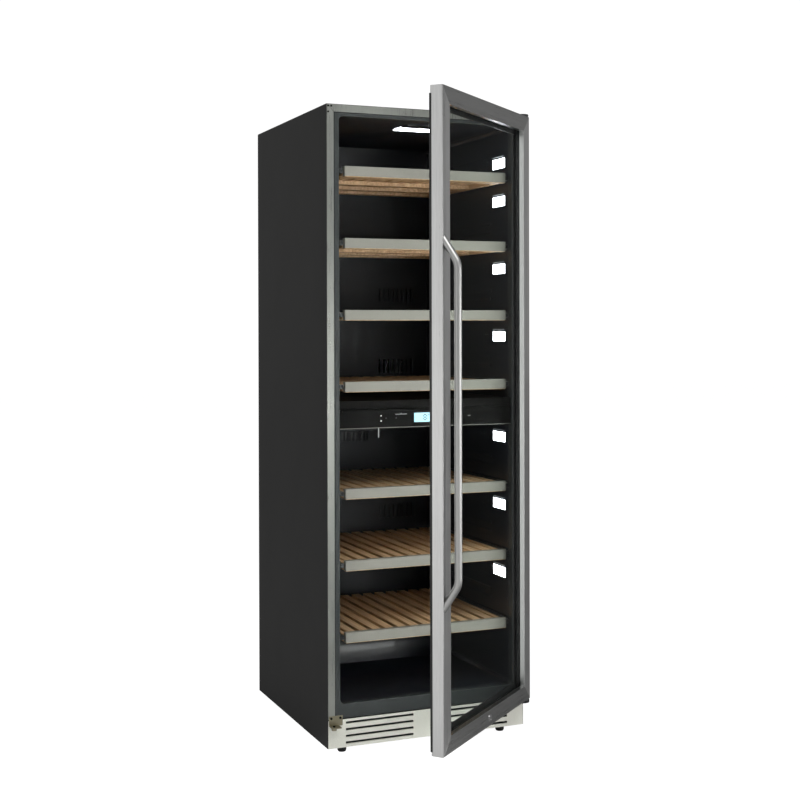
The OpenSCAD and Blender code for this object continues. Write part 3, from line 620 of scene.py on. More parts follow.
DIVIDER_PLASTIC = CoatedFinish("divider plastic", "#0e0d0c", 0.55, grain=800.0, dust=0.0, rub=0.03,
                               specular=0.12)
FASCIA_GLOSS = CoatedFinish("fascia gloss black", "#080807", 0.36, grain=500.0, depth=0.00001, dust=0.0,
                            rub=0.03, specular=0.1)
BOARD_GREEN = CoatedFinish("circuit board lacquer", "#2f6a3c", 0.35, grain=1500.0, depth=0.00006, coat=0.4)
RAIL_STEEL = CoatedFinish("rail steel", "#4a4c4c", 0.35, grain=900.0, metallic=0.9, rub=0.6,
                          rub_colour="#b5b5b2")
COMPRESSOR_PAINT = CoatedFinish("compressor enamel", "#0f0f10", 0.25, grain=600.0, depth=0.00006,
                                coat=0.4, dust=0.3)
COIL_PAINT = CoatedFinish("coil paint", "#2f3131", 0.45, grain=900.0, dust=0.35)
FIN_METAL = CoatedFinish("fin aluminium", "#c4c7c9", 0.3, grain=1500.0, metallic=1.0, rub=0.3,
                         rub_colour="#e0e0e0")
COPPER = CoatedFinish("drawn copper", "#b87346", 0.3, grain=1200.0, metallic=1.0, rub=0.2,
                      rub_colour="#d29a70")
TRAY_PLASTIC = CoatedFinish("tray plastic", "#d4d4cf", 0.45, grain=800.0, dust=0.3, rub_colour="#e8e8e4")
INLET_PLASTIC = CoatedFinish("inlet plastic", "#161616", 0.45, grain=1400.0, depth=0.00006)
HINGE_PAINT = CoatedFinish("hinge paint", "#141414", 0.36, grain=900.0, rub=0.35, rub_colour="#777772")
BRACKET_STEEL = CoatedFinish("passivated bracket steel", "#9a947e", 0.34, grain=800.0, metallic=1.0, rub=0.5,
                             rub_colour="#d8d2ba", marks=0.9)
SCREW_STEEL = CoatedFinish("screw steel", "#9fa19f", 0.3, grain=1500.0, metallic=1.0, rub=0.5,
                           rub_colour="#d5d5d2")
BLACK_SCREW = CoatedFinish("blackened screw steel", "#181816", 0.4, grain=1500.0, metallic=0.7,
                           rub_colour="#5c5a50")
FAN_PLASTIC = CoatedFinish("fan plastic", "#1c1e1f", 0.4, grain=900.0, dust=0.25)
FOOT_PLASTIC = CoatedFinish("foot plastic", "#101011", 0.4, grain=900.0, depth=0.00006, dust=0.15)
STILE_STEEL = BrushedFinish("stile stainless", "#cccccb", 0.32)
RAIL_STAINLESS = BrushedFinish("door rail stainless", "#a6a6a5", 0.3, way=GrainWay.DOOR_ACROSS)
HANDLE_STEEL = BrushedFinish("handle stainless", "#b2b2b0", 0.38)
CORE_PLASTIC = CoatedFinish("door core plastic", "#0e0e0f", 0.4, grain=900.0, dust=0.04)
GLASS = GlassFinish("door glass", "#f9fbfa", 0.0)
SPACER_BLACK = CoatedFinish("spacer black", "#0a0a0b", 0.5, grain=1500.0, dust=0.0)
GASKET_RUBBER = CoatedFinish("gasket rubber", "#0c0c0d", 0.55, grain=1200.0, depth=0.00005, dust=0.08,
                             rub=0.1)
CHROME = CoatedFinish("lock chrome", "#d6d6d6", 0.1, grain=1500.0, depth=0.00001, metallic=1.0,
                      rub_colour="#efefef")
TRIM_METAL = CoatedFinish("rack trim metal", "#8e8c84", 0.45, grain=1300.0, metallic=0.3, dust=0.06,
                          rub_colour="#dddcd2")
BEECH = BeechFinish("oiled beech", "#e9c79c", 0.42)
LENS_GLOW = GlowFinish("light diffuser", "#f4f8ff", 0.4, glow=13.0)
# Painted light: the visors above the side windows glow faintly to stand for the lamp's light falling on them;
# they are no lamp.
VISOR_PAINTED_GLOW = GlowFinish("visor painted glow", "#aab0b6", 0.4, glow=0.35, fade=0.4)
DISPLAY_GLOW = GlowFinish("display backlight", "#a6dbe6", 0.2, glow=0.6, cells=900.0)
DISPLAY_INK = CoatedFinish("display segments", "#10181d", 0.5, grain=1500.0, dust=0.0, rub=0.0)
DOT_GLOW = GlowFinish("indicator", "#ffffff", 0.3, glow=1.2)
PRINT_GREY = CoatedFinish("printed marks", "#4b4d4e", 0.5, grain=1500.0, dust=0.0, rub=0.0)
PRINT_PALE = CoatedFinish("pale printed marks", "#dcdedd", 0.45, grain=1500.0, dust=0.0, rub=0.0)
SEAM_SHADOW = CoatedFinish("seam", "#141615", 0.7, grain=900.0, dust=0.0, rub=0.0)


# ---------- shaping ----------


@dataclass(frozen=True)
class Seat:
    """Where a piece belongs: the body it rides on and the record's material slot."""

    body: str
    slot: str


def node_copy(node: str) -> Shape:
    """A copy of a CAD node's mesh, merged and with its flat faces made whole.

    Args:
        node: the CAD node's name.

    Returns:
        The copy, in the frame's coordinates.
    """
    shape = bmesh.new()
    shape.from_mesh(frame["nodes"][node].data)
    bmesh.ops.remove_doubles(shape, verts=shape.verts, dist=MERGE_REACH)
    bmesh.ops.dissolve_limit(shape, angle_limit=FLAT_WITHIN, verts=shape.verts, edges=shape.edges)
    return shape


def soften(shape: Shape, width: float) -> None:
    """Rounds the sharp outer edges and marks the new faces with the edge attribute.

    Args:
        shape: the bmesh to change.
        width: width of the rounding.
    """
    mark = shape.faces.layers.float.get("edge") or shape.faces.layers.float.new("edge")
    convex = [e for e in shape.edges if e.is_manifold and e.is_convex]
    sharp = [e for e in convex if e.calc_face_angle(0.0) > ROUND_ABOVE]
    made = bmesh.ops.bevel(shape, geom=sharp, offset=width, affect="EDGES", segments=ROUND_STEPS,
                           profile=0.5, material=-1, clamp_overlap=True)
    for face in made["faces"]:
        face[mark] = 1.0


def islands(shape: Shape) -> list[Verts]:
    """Finds the separate solids of a bmesh.

    Args:
        shape: the bmesh to look through.

    Returns:
        Each solid's vertices.
    """
    left, found = set(shape.verts), []
    while left:
        group, edge = [], [left.pop()]
        while edge:
            vert = edge.pop()
            group.append(vert)
            fresh = {e.other_vert(vert) for e in vert.link_edges} & left
            left -= fresh
            edge.extend(fresh)
        found.append(group)
    return found


def reach(verts: Verts) -> tuple[Vector, Vector]:
    """Measures the box round some vertices.

    Args:
        verts: the vertices.

    Returns:
        The box's lowest and highest corners.
    """
    lows = Vector(min(v.co[i] for v in verts) for i in range(3))
    highs = Vector(max(v.co[i] for v in verts) for i in range(3))
    return lows, highs


def keep_solids(shape: Shape, wanted: list[Verts]) -> None:
    """Deletes every vertex that isn't in the wanted solids."""
    kept = {v for group in wanted for v in group}
    bmesh.ops.delete(shape, geom=[v for v in shape.verts if v not in kept], context="VERTS")


def add_block(shape: Shape, low: Vector, high: Vector) -> Verts:
    """Adds a block between two corners.

    Args:
        shape: the bmesh to add to.
        low: the block's lowest corner.
        high: its highest corner.

    Returns:
        The block's vertices.
    """
    verts = bmesh.ops.create_cube(shape, size=1.0)["verts"]
    bmesh.ops.scale(shape, vec=high - low, verts=verts)
    bmesh.ops.translate(shape, vec=(low + high) / 2, verts=verts)
    return verts


def add_rod(shape: Shape, start: Vector, end: Vector, radius: float,
            end_radius: float | None = None) -> Verts:
    """Adds a round rod, or a cone where its ends differ.

    Args:
        shape: the bmesh to add to.
        start: middle of the first end.
        end: middle of the second end.
        radius: radius at the first end.
        end_radius: radius at the second end, or the same.

    Returns:
        The rod's vertices.
    """
    tip = radius if end_radius is None else end_radius
    verts = bmesh.ops.create_cone(shape, cap_ends=True, segments=ROD_STEPS, radius1=radius, radius2=tip,
                                  depth=(end - start).length)["verts"]
    turn = Vector((0.0, 0.0, 1.0)).rotation_difference(end - start).to_matrix()
    bmesh.ops.rotate(shape, cent=(0.0, 0.0, 0.0), matrix=turn, verts=verts)
    bmesh.ops.translate(shape, vec=(start + end) / 2, verts=verts)
    return verts


def add_ring(shape: Shape, middle: Vector, axis: Vector, inner: float, outer: float, thick: float) -> None:
    """Adds a flat ring by turning its section about an axis.

    Args:
        shape: the bmesh to add to.
        middle: centre of the ring's first face.
        axis: direction of its thickness.
        inner: inner radius.
        outer: outer radius.
        thick: thickness along the axis.
    """
    side = axis.orthogonal().normalized()
    corners = [middle + side * inner, middle + side * outer]
    corners += [middle + side * outer + axis * thick, middle + side * inner + axis * thick]
    section = shape.faces.new([shape.verts.new(c) for c in corners])
    geom = [section, *section.edges, *section.verts]
    turned = bmesh.ops.spin(shape, geom=geom, cent=middle, axis=axis, angle=math.tau, steps=RING_STEPS,
                            use_merge=True)
    if section.is_valid:
        bmesh.ops.delete(shape, geom=[section], context="FACES_ONLY")
    inside = [f for f in turned["geom_last"] if isinstance(f, bmesh.types.BMFace) and f.is_valid]
    bmesh.ops.delete(shape, geom=inside, context="FACES_ONLY")


def publish(shape: Shape, name: str, seat: Seat, finish: Finish, *nodes: str) -> None:
    """Makes a finished piece of a bmesh.

    Args:
        shape: the bmesh, which is used up.
        name: the piece's name.
        seat: its body and material slot.
        finish: its finish.
        nodes: the CAD nodes that it stands for.
    """
    mesh = bpy.data.meshes.new(name)
    shape.to_mesh(mesh)
    shape.free()
    mesh.materials.append(finish.material())
    mesh.shade_smooth()
    mesh.set_sharp_from_angle(angle=SHADE_SHARP)
    piece = bpy.data.objects.new(name, mesh)
    bpy.context.scene.collection.objects.link(piece)
    if len(mesh.polygons) < WEIGHTED_BELOW:
        piece.modifiers.new("flat faces", "WEIGHTED_NORMAL").keep_sharp = True
    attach(piece, seat.body)
    if nodes:
        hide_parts(*nodes)
    log.info("piece %s: %d faces on %s", name, len(mesh.polygons), seat.body)


def dressed(node: str, seat: Seat, finish: Finish, width: float) -> None:
    """Stands a softened copy of a CAD node in its place.

    Args:
        node: the CAD node's name.
        seat: its body and material slot.
        finish: its finish.
        width: width of the rounding, or 0 for none.
    """
    shape = node_copy(node)
    if width:
        soften(shape, width)
    publish(shape, f"{node}_piece", seat, finish, node)


# ---------- the cabinet ----------


@dataclass
class CabinetShell:
    """The outer sheet steel, the base and the feet."""

    edge: float = 0.0005
    screw_r: float = 0.0034
    screw_h: float = 0.0010
    screw_in: float = 0.012
    screw_rows: int = 7
    screw_taper: float = 0.75
    recess_rim: float = 0.45
    recess_deep: float = 0.4
    pad_edge: float = 0.001
    nodes: dict[str, tuple[str, Finish]] = field(default_factory=lambda: {
        "left_side_panel": ("black_panel", BLACK_PANEL),
        "right_side_panel": ("black_panel", BLACK_PANEL),
        "top_panel": ("black_panel", BLACK_PANEL),
        "rear_panel": ("dark_sheet", DARK_SHEET),
        "base_pan": ("dark_sheet", DARK_SHEET),
    })

    def build(self) -> None:
        """Builds every piece of the shell."""
        for node, (slot, finish) in self.nodes.items():
            dressed(node, Seat("cabinet", slot), finish, self.edge)
        for corner in ("front_left", "front_right", "rear_left", "rear_right"):
            self.foot(f"foot_{corner}")
        self.rear_screws()

    def foot(self, node: str) -> None:
        """One levelling foot, with a rounded pad."""
        dressed(node, Seat(node, "foot_plastic"), FOOT_PLASTIC, self.pad_edge)

    def rear_screws(self) -> None:
        """Screws with a recess in the head that hold the rear panel down both sides."""
        low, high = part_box("rear_panel")
        shape = bmesh.new()
        proud = Vector((0.0, self.screw_h, 0.0))
        rise = (high.z - low.z - 2 * self.screw_in) / (self.screw_rows - 1)
        for x in (low.x + self.screw_in, high.x - self.screw_in):
            for row in range(self.screw_rows):
                base = Vector((x, high.y - self.screw_h / 2, low.z + self.screw_in + row * rise))
                head = add_rod(shape, base, base + proud, self.screw_r, self.screw_r * self.screw_taper)
                cap = max({f for v in head for f in v.link_faces}, key=lambda f: f.calc_center_median().y)
                bmesh.ops.inset_individual(shape, faces=[cap], thickness=self.screw_r * self.recess_rim,
                                           depth=-self.screw_h * self.recess_deep)
        publish(shape, "rear_panel_screws", Seat("cabinet", "screw_steel"), SCREW_STEEL)


@dataclass
class FrontFrame:
    """The steel strip, the liner lip, the hinge plates and the fasteners at the front."""

    edge: float = 0.0006
    lip_edge: float = 0.0012
    plate_edge: float = 0.0006
    bracket_edge: float = 0.0005
    screw_edge: float = 0.0003
    seam: float = 0.0004
    seam_proud: float = 0.00008
    pin_at: tuple[float, float] = (0.011, -0.0195)
    pin_r: float = 0.0038
    pin_h: float = 0.012
    pin_up: float = 0.0005
    pin_edge: float = 0.0006
    groove_w: float = 0.0026
    groove_set: float = 0.0018
    groove_deep: float = 0.0058
    cover_r: float = 0.0185
    cover_gap: float = 0.0011
    cover_under: float = 0.0087
    cover_over: float = 0.0055
    cover_flank: float = 0.0005
    cover_back: float = 0.0002
    cover_edge: float = 0.0009

    def build(self) -> None:
        """Builds every piece of the front frame."""
        dressed("face_frame", Seat("cabinet", "frame_steel"), FRAME_STEEL, self.edge)
        dressed("breaker_frame", Seat("cabinet", "breaker_plastic"), LIP_PLASTIC, self.lip_edge)
        for node in ("top_hinge_plate", "bottom_hinge_plate"):
            dressed(node, Seat("cabinet", "hinge_paint"), HINGE_PAINT, self.plate_edge)
        dressed("spare_hinge_bracket", Seat("cabinet", "bracket_steel"), BRACKET_STEEL, self.bracket_edge)
        self.corner_seams()
        self.bracket_pin()
        self.groove_painted_shade()
        self.hinge_covers()
        self.screws()

    def hinge_covers(self) -> None:
        """The black moulded covers over the door's hinge end and under it."""
        pin = Vector(joint("door_hinge")["pos_m"])
        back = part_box("face_frame")[0].y - self.cover_back
        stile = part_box("door_free_stile")
        bottom, top = stile[0].z - self.cover_gap, stile[1].z + self.cover_gap
        shape = bmesh.new()
        for low, high in ((bottom - self.cover_under, bottom), (top, top + self.cover_over)):
            verts = add_rod(shape, Vector((pin.x, pin.y, low)), Vector((pin.x, pin.y, high)), self.cover_r)
            for vert in verts:
                if vert.co.y > pin.y + self.cover_flank:
                    vert.co.y = back
        soften(shape, self.cover_edge)
        publish(shape, "hinge_covers", Seat("cabinet", "hinge_paint"), HINGE_PAINT)

    def corner_seams(self) -> None:
        """The mitred seams where the strip's lengths meet at the top corners."""
        low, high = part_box("face_frame")
        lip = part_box("breaker_frame")
        shape = bmesh.new()
        for outer, inner in ((low.x, lip[0].x), (high.x, lip[1].x)):
            start = Vector((outer, low.y, high.z))
            end = Vector((inner, low.y, high.z - abs(inner - outer)))
            middle, length = (start + end) / 2, (end - start).length
            half = Vector((length / 2, self.seam_proud, self.seam / 2))
            verts = add_block(shape, -half, half)
            slope = math.atan2(start.z - end.z, end.x - start.x)
            bmesh.ops.rotate(shape, cent=(0, 0, 0), matrix=Matrix.Rotation(slope, 3, "Y"), verts=verts)
            bmesh.ops.translate(shape, vec=middle, verts=verts)
        publish(shape, "face_frame_seams", Seat("cabinet", "frame_steel"), SEAM_SHADOW)

    def bracket_pin(self) -> None:
        """The blackened bush that stands in the spare bracket."""
        shape = bmesh.new()
        base = spot(*self.pin_at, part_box("spare_hinge_bracket")[0].z + self.pin_up)
        add_rod(shape, base, base + Vector((0, 0, self.pin_h)), self.pin_r)
        soften(shape, self.pin_edge)
        publish(shape, "spare_bracket_pin", Seat("cabinet", "bracket_steel"), BLACK_SCREW)

    def groove_painted_shade(self) -> None:
        """A black filler in the groove between the strip and the lip: painted shade that darkens the groove.
        """
        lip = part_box("breaker_frame")
        back = lip[0].y + self.groove_deep
        front = lip[0].y + self.groove_set
        shape = bmesh.new()
        for x in (lip[0].x, lip[1].x - self.groove_w):
            add_block(shape, Vector((x, front, lip[0].z)), Vector((x + self.groove_w, back, lip[1].z)))
        corner = Vector((lip[0].x + self.groove_w, front, lip[1].z - self.groove_w))
        add_block(shape, corner, Vector((lip[1].x - self.groove_w, back, lip[1].z)))
        # Painted shade: the black filler stands for the shadow inside the groove.
        publish(shape, "groove_painted_shade", Seat("cabinet", "breaker_plastic"), GASKET_RUBBER)

    def screws(self) -> None:
        """The blackened screws of the frame, the bracket and the fascia."""
        dressed("cabinet_screws", Seat("cabinet", "screw_steel"), BLACK_SCREW, self.screw_edge)


@dataclass
class Plinth:
    """The louvred plinth, with a level blade behind each slot."""

    edge: float = 0.0004
    blade_t: float = 0.0008
    blade_deep: float = 0.004
    blade_lap: float = 0.0004
    blade_edge: float = 0.00024
    rim_in: float = 0.01

    def build(self) -> None:
        """Builds the panel and its blades."""
        seat = Seat("cabinet", "plinth_steel")
        dressed("plinth_grille", seat, PLINTH, self.edge)
        shape = bmesh.new()
        for low, high in self.slots():
            front = high.y - self.blade_lap
            corner = Vector((low.x, front, low.z - self.blade_t))
            add_block(shape, corner, Vector((high.x, front + self.blade_deep, low.z)))
        soften(shape, self.blade_edge)
        publish(shape, "plinth_blades", seat, PLINTH)

    def slots(self) -> list[tuple[Vector, Vector]]:
        """Reads each slot from the rims of the panel's openings.

        Returns:
            The lowest and highest corners of each slot.
        """
        shape = node_copy("plinth_grille")
        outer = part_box("plinth_grille")
        rims = [v for v in shape.verts if min(v.co.x - outer[0].x, outer[1].x - v.co.x) > self.rim_in]
        lefts = sorted({round(v.co.x, 5) for v in rims})
        heights = sorted({round(v.co.z, 5) for v in rims})
        shape.free()
        spans = list(zip(lefts[0::2], lefts[1::2]))
        rows = list(zip(heights[0::2], heights[1::2]))
        return [(Vector((a, outer[0].y, c)), Vector((b, outer[1].y, d))) for a, b in spans for c, d in rows]


@dataclass
class Interior:
    """The liner, the ducts, the divider with its controls, the rails and the lights."""

    duct_edge: float = 0.0004
    divider_edge: float = 0.0012
    rail_edge: float = 0.0003
    bezel_wide: float = 0.0028
    bezel_out: float = 0.0019
    bezel_recess: float = 0.0012
    visor_out: float = 0.0045
    visor_t: float = 0.0012
    visor_up: float = 0.0052
    visor_in: float = 0.006
    lens_proud: float = 0.0012
    side_lens_t: float = 0.01
    hood_deep: float = 0.046
    hood_t: float = 0.0022
    hood_lap: float = 0.004
    hood_gap: float = 0.0002
    lens_edge: float = 0.0004
    visor_edge: float = 0.0003
    stop_t: float = 0.0016
    stop_w: float = 0.005
    stop_h: float = 0.013
    stop_edge: float = 0.0004

    def build(self) -> None:
        """Builds every piece of the inside."""
        dressed("foam_insulation", Seat("cabinet", "foam"), FOAM, 0.0)
        dressed("inner_liner", Seat("cabinet", "liner_plastic"), LINER_PLASTIC, 0.0)
        for node in ("upper_duct_cover", "lower_duct_cover"):
            dressed(node, Seat("cabinet", "liner_plastic"), DUCT_PLASTIC, self.duct_edge)
        dressed("zone_divider", Seat("cabinet", "divider_plastic"), DIVIDER_PLASTIC, self.divider_edge)
        dressed("outer_rails", Seat("cabinet", "rail_steel"), RAIL_STEEL, self.rail_edge)
        dressed("evaporators", Seat("cabinet", "fin_aluminium"), FIN_METAL, 0.0)
        self.lights()
        self.rail_stops()

    def lights(self) -> None:
        """The lit windows: a frame and a visor at each side window, and a hood at the roof's. The visors glow
        with painted light for the lamp's spill on them.
        """
        shape = node_copy("light_lenses")
        windows = [reach(group) for group in islands(shape)]
        soften(shape, self.lens_edge)
        publish(shape, "light_lenses_piece", Seat("cabinet", "lens"), LENS_GLOW, "light_lenses")
        frames, visors = bmesh.new(), bmesh.new()
        for low, high in (w for w in windows if w[1].x - w[0].x < self.side_lens_t):
            wall = low.x + self.lens_proud
            grow = Vector((0.0, self.bezel_wide, self.bezel_wide))
            corner = Vector((wall - self.bezel_out, low.y, low.z)) - grow
            verts = add_block(frames, corner, Vector((wall, high.y, high.z)) + grow)
            face = min({f for v in verts for f in v.link_faces}, key=lambda f: f.calc_center_median().x)
            bmesh.ops.inset_individual(frames, faces=[face], thickness=self.bezel_wide,
                                       depth=-self.bezel_recess)
            shelf = Vector((wall - self.visor_out, low.y + self.visor_in, high.z + self.visor_up))
            add_block(visors, shelf, Vector((wall, high.y - self.visor_in, shelf.z + self.visor_t)))
        self.hood(frames, *max(windows, key=lambda w: w[1].x - w[0].x))
        soften(frames, self.lens_edge)
        soften(visors, self.visor_edge)
        publish(frames, "light_frames", Seat("cabinet", "liner_plastic"), LINER_PLASTIC)
        # The visors get a painted glow for the lamp's light on them.
        publish(visors, "painted_glow_visors", Seat("cabinet", "lens"), VISOR_PAINTED_GLOW)

    def hood(self, frames: Shape, low: Vector, high: Vector) -> None:
        """Adds the roof light's hood: a plate under its front part, a front wall and a left wall.

        Args:
            frames: the bmesh to add to.
            low: the roof window's lowest corner.
            high: its highest corner.
        """
        left, front, right = low.x - self.hood_lap, low.y - self.hood_lap, high.x + self.hood_lap
        near, back = low.y - self.hood_gap, low.y + self.hood_deep
        add_block(frames, Vector((left, front, low.z - self.hood_t)), Vector((right, back, low.z)))
        add_block(frames, Vector((left, front, low.z)), Vector((right, near, high.z)))
        add_block(frames, Vector((left, near, low.z)), Vector((low.x - self.hood_gap, back, high.z)))

    def rail_stops(self) -> None:
        """A bright stop at the front end of each fixed rail."""
        rails = node_copy("outer_rails")
        ends = [reach(group) for group in islands(rails)]
        rails.free()
        shape = bmesh.new()
        for low, high in ends:
            middle = (low + high) / 2
            left = low.x if middle.x < 0 else high.x - self.stop_w
            corner = Vector((left, low.y - self.stop_t, middle.z - self.stop_h / 2))
            add_block(shape, corner, Vector((left + self.stop_w, low.y, middle.z + self.stop_h / 2)))
        soften(shape, self.stop_edge)
        publish(shape, "rail_stops", Seat("cabinet", "rail_steel"), SCREW_STEEL)


@dataclass
class ControlPanel:
    """The fascia between the zones with its display, marks and probe."""

    fascia_edge: float = 0.0008
    window_edge: float = 0.0004
    board_edge: float = 0.0002
    digit_w: float = 0.0092
    digit_h: float = 0.0140
    stroke: float = 0.0029
    digit_x: float = 0.2905
    level_share: float = 0.8
    corner_share: float = 1.4
    degree_x: float = 0.3005
    degree_rs: tuple[float, float] = (0.0007, 0.0015)
    figure_out: float = 0.00012
    print_out: float = 0.0001
    dot_r: float = 0.0015
    dot_x: float = 0.1584
    dot_zs: tuple[float, float] = (0.0074, -0.0069)
    dot_out: float = 0.0005
    dot_taper: float = 0.8
    key_xs: tuple[float, float] = (0.173, 0.203)
    key_rs: tuple[float, float] = (0.0014, 0.0021)
    key_bar: tuple[float, float] = (0.0016, 0.0005)
    line_from: float = 0.2010
    line_to: float = 0.2354
    line_z: float = 0.0105
    line_h: float = 0.0010
    tick_z: float = 0.0128
    tick: tuple[float, float] = (0.0022, 0.0012)
    dash_x: float = 0.4249
    dash_z: float = 0.0012
    dash: tuple[float, float] = (0.0085, 0.0013)
    strip_in: float = 0.001
    strip_out: float = 0.0004
    strip_back: float = 0.002
    strip_down: float = 0.0002
    strip_up: float = 0.0011
    strip_edge: float = 0.0003
    probe_x: float = 0.158
    probe_r: float = 0.0012
    probe_len: float = 0.026
    probe_back: float = 0.018
    probe_up: float = 0.006
    probe_tip: float = 0.002

    def build(self) -> None:
        """Builds the fascia and everything on it."""
        dressed("control_fascia", Seat("cabinet", "fascia_plastic"), FASCIA_GLOSS, self.fascia_edge)
        dressed("display_window", Seat("cabinet", "display"), DISPLAY_GLOW, self.window_edge)
        dressed("control_board", Seat("cabinet", "board"), BOARD_GREEN, self.board_edge)
        self.digit()
        self.dots()
        self.marks()
        self.edge_line()
        self.probe()

    @property
    def panel(self) -> tuple[Vector, Vector]:
        """The lowest and highest corners of the fascia."""
        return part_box("control_fascia")

    @property
    def face(self) -> float:
        """Where the fascia's front face lies."""
        return self.panel[0].y

    @property
    def middle(self) -> float:
        """The fascia's middle height."""
        return (self.panel[0].z + self.panel[1].z) / 2

    def plate(self, shape: Shape, x: float, z: float, size: tuple[float, float]) -> None:
        """Adds a thin raised mark to the fascia's face.

        Args:
            shape: the bmesh to add to.
            x: the mark's middle, from the cabinet's left side.
            z: its middle height.
            size: its width and height.
        """
        middle = Vector((FRONT_LEFT.x + x, self.face, z))
        half = Vector((size[0] / 2, self.figure_out, size[1] / 2))
        add_block(shape, middle - half, middle + half)

    def digit(self) -> None:
        """A seven-bar figure and a degree ring on the display."""
        low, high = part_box("display_window")
        middle = (low.z + high.z) / 2
        shape = bmesh.new()
        rise = self.digit_h / 2
        level = (self.digit_w - self.stroke, self.stroke * self.level_share)
        upright = (self.stroke, rise - self.stroke * self.corner_share)
        for z in (middle - rise, middle, middle + rise):
            self.plate(shape, self.digit_x, z, level)
        for x in (self.digit_x - self.digit_w / 2, self.digit_x + self.digit_w / 2):
            for z in (middle - rise / 2, middle + rise / 2):
                self.plate(shape, x, z, upright)
        ring = Vector((FRONT_LEFT.x + self.degree_x, self.face + self.figure_out, middle + rise))
        add_ring(shape, ring, Vector((0.0, -1.0, 0.0)), *self.degree_rs, 2 * self.figure_out)
        publish(shape, "display_figure", Seat("cabinet", "display"), DISPLAY_INK)

    def dots(self) -> None:
        """Two lit indicator dots."""
        shape = bmesh.new()
        for z in self.dot_zs:
            base = Vector((FRONT_LEFT.x + self.dot_x, self.face + self.print_out, self.middle + z))
            add_rod(shape, base, base - Vector((0, self.dot_out, 0)), self.dot_r, self.dot_r * self.dot_taper)
        publish(shape, "fascia_indicators", Seat("cabinet", "fascia_plastic"), DOT_GLOW)

    def marks(self) -> None:
        """The printed touch marks, the thin rule and the small dash."""
        keys, pale = bmesh.new(), bmesh.new()
        for x in self.key_xs:
            start = Vector((FRONT_LEFT.x + x, self.face + self.print_out, self.middle))
            add_ring(keys, start, Vector((0.0, -1.0, 0.0)), *self.key_rs, 2 * self.print_out)
            self.plate(keys, x, self.middle, self.key_bar)
        line_x = (self.line_from + self.line_to) / 2
        self.plate(pale, line_x, self.middle + self.line_z, (self.line_to - self.line_from, self.line_h))
        self.plate(pale, line_x, self.middle + self.tick_z, self.tick)
        self.plate(pale, self.dash_x, self.middle + self.dash_z, self.dash)
        publish(keys, "fascia_keys", Seat("cabinet", "fascia_plastic"), PRINT_GREY)
        publish(pale, "fascia_rules", Seat("cabinet", "fascia_plastic"), PRINT_PALE)

    def edge_line(self) -> None:
        """The bright strip along the fascia's lower edge."""
        low, high = self.panel
        shape = bmesh.new()
        start = Vector((low.x + self.strip_in, low.y - self.strip_out, low.z - self.strip_down))
        end = Vector((high.x - self.strip_in, low.y + self.strip_back, low.z + self.strip_up))
        add_block(shape, start, end)
        soften(shape, self.strip_edge)
        publish(shape, "fascia_edge_strip", Seat("cabinet", "fascia_plastic"), TRIM_METAL)

    def probe(self) -> None:
        """The temperature probe that hangs under the divider."""
        shape = bmesh.new()
        under = self.panel[0].z
        top = Vector((FRONT_LEFT.x + self.probe_x, self.face + self.probe_back, under + self.probe_up))
        tip = top - Vector((0, 0, self.probe_len + self.probe_up))
        add_rod(shape, tip, top, self.probe_r)
        add_rod(shape, tip - Vector((0, 0, self.probe_tip)), tip, self.probe_r / 2, self.probe_r)
        publish(shape, "temperature_probe", Seat("cabinet", "fascia_plastic"), PRINT_PALE)


@dataclass
class Rack:
    """One pull-out rack: its metal front, its wood and its sliding runners."""

    number: int
    trim_edge: float = 0.0004
    wood_edge: float = 0.0009
    runner_edge: float = 0.0006
    runner_w: float = 0.02

    def build(self) -> None:
        """Builds the rack's pieces."""
        body = f"rack_{self.number}"
        dressed(f"{body}_trim", Seat(body, "rack_trim_metal"), TRIM_METAL, self.trim_edge)
        for steel in (False, True):
            shape = node_copy(f"{body}_slats")
            wanted = [g for g in islands(shape) if self.is_runner(g) == steel]
            keep_solids(shape, wanted)
            soften(shape, self.runner_edge if steel else self.wood_edge)
            name, slot = (f"{body}_runners", "rail_steel") if steel else (f"{body}_wood", "beech")
            publish(shape, name, Seat(body, slot), RAIL_STEEL if steel else BEECH, f"{body}_slats")

    def is_runner(self, verts: Verts) -> bool:
        """Tells a steel runner from the wood by how narrow it is."""
        low, high = reach(verts)
        return high.x - low.x < self.runner_w


def face_gap(point: Vector, out: Vector) -> float:
    """How far a point lies in front of the bottom rail's face, along the outward direction."""
    mesh = frame["nodes"]["door_bottom_rail"].data
    return point.dot(out) - max(v.co.dot(out) for v in mesh.vertices)


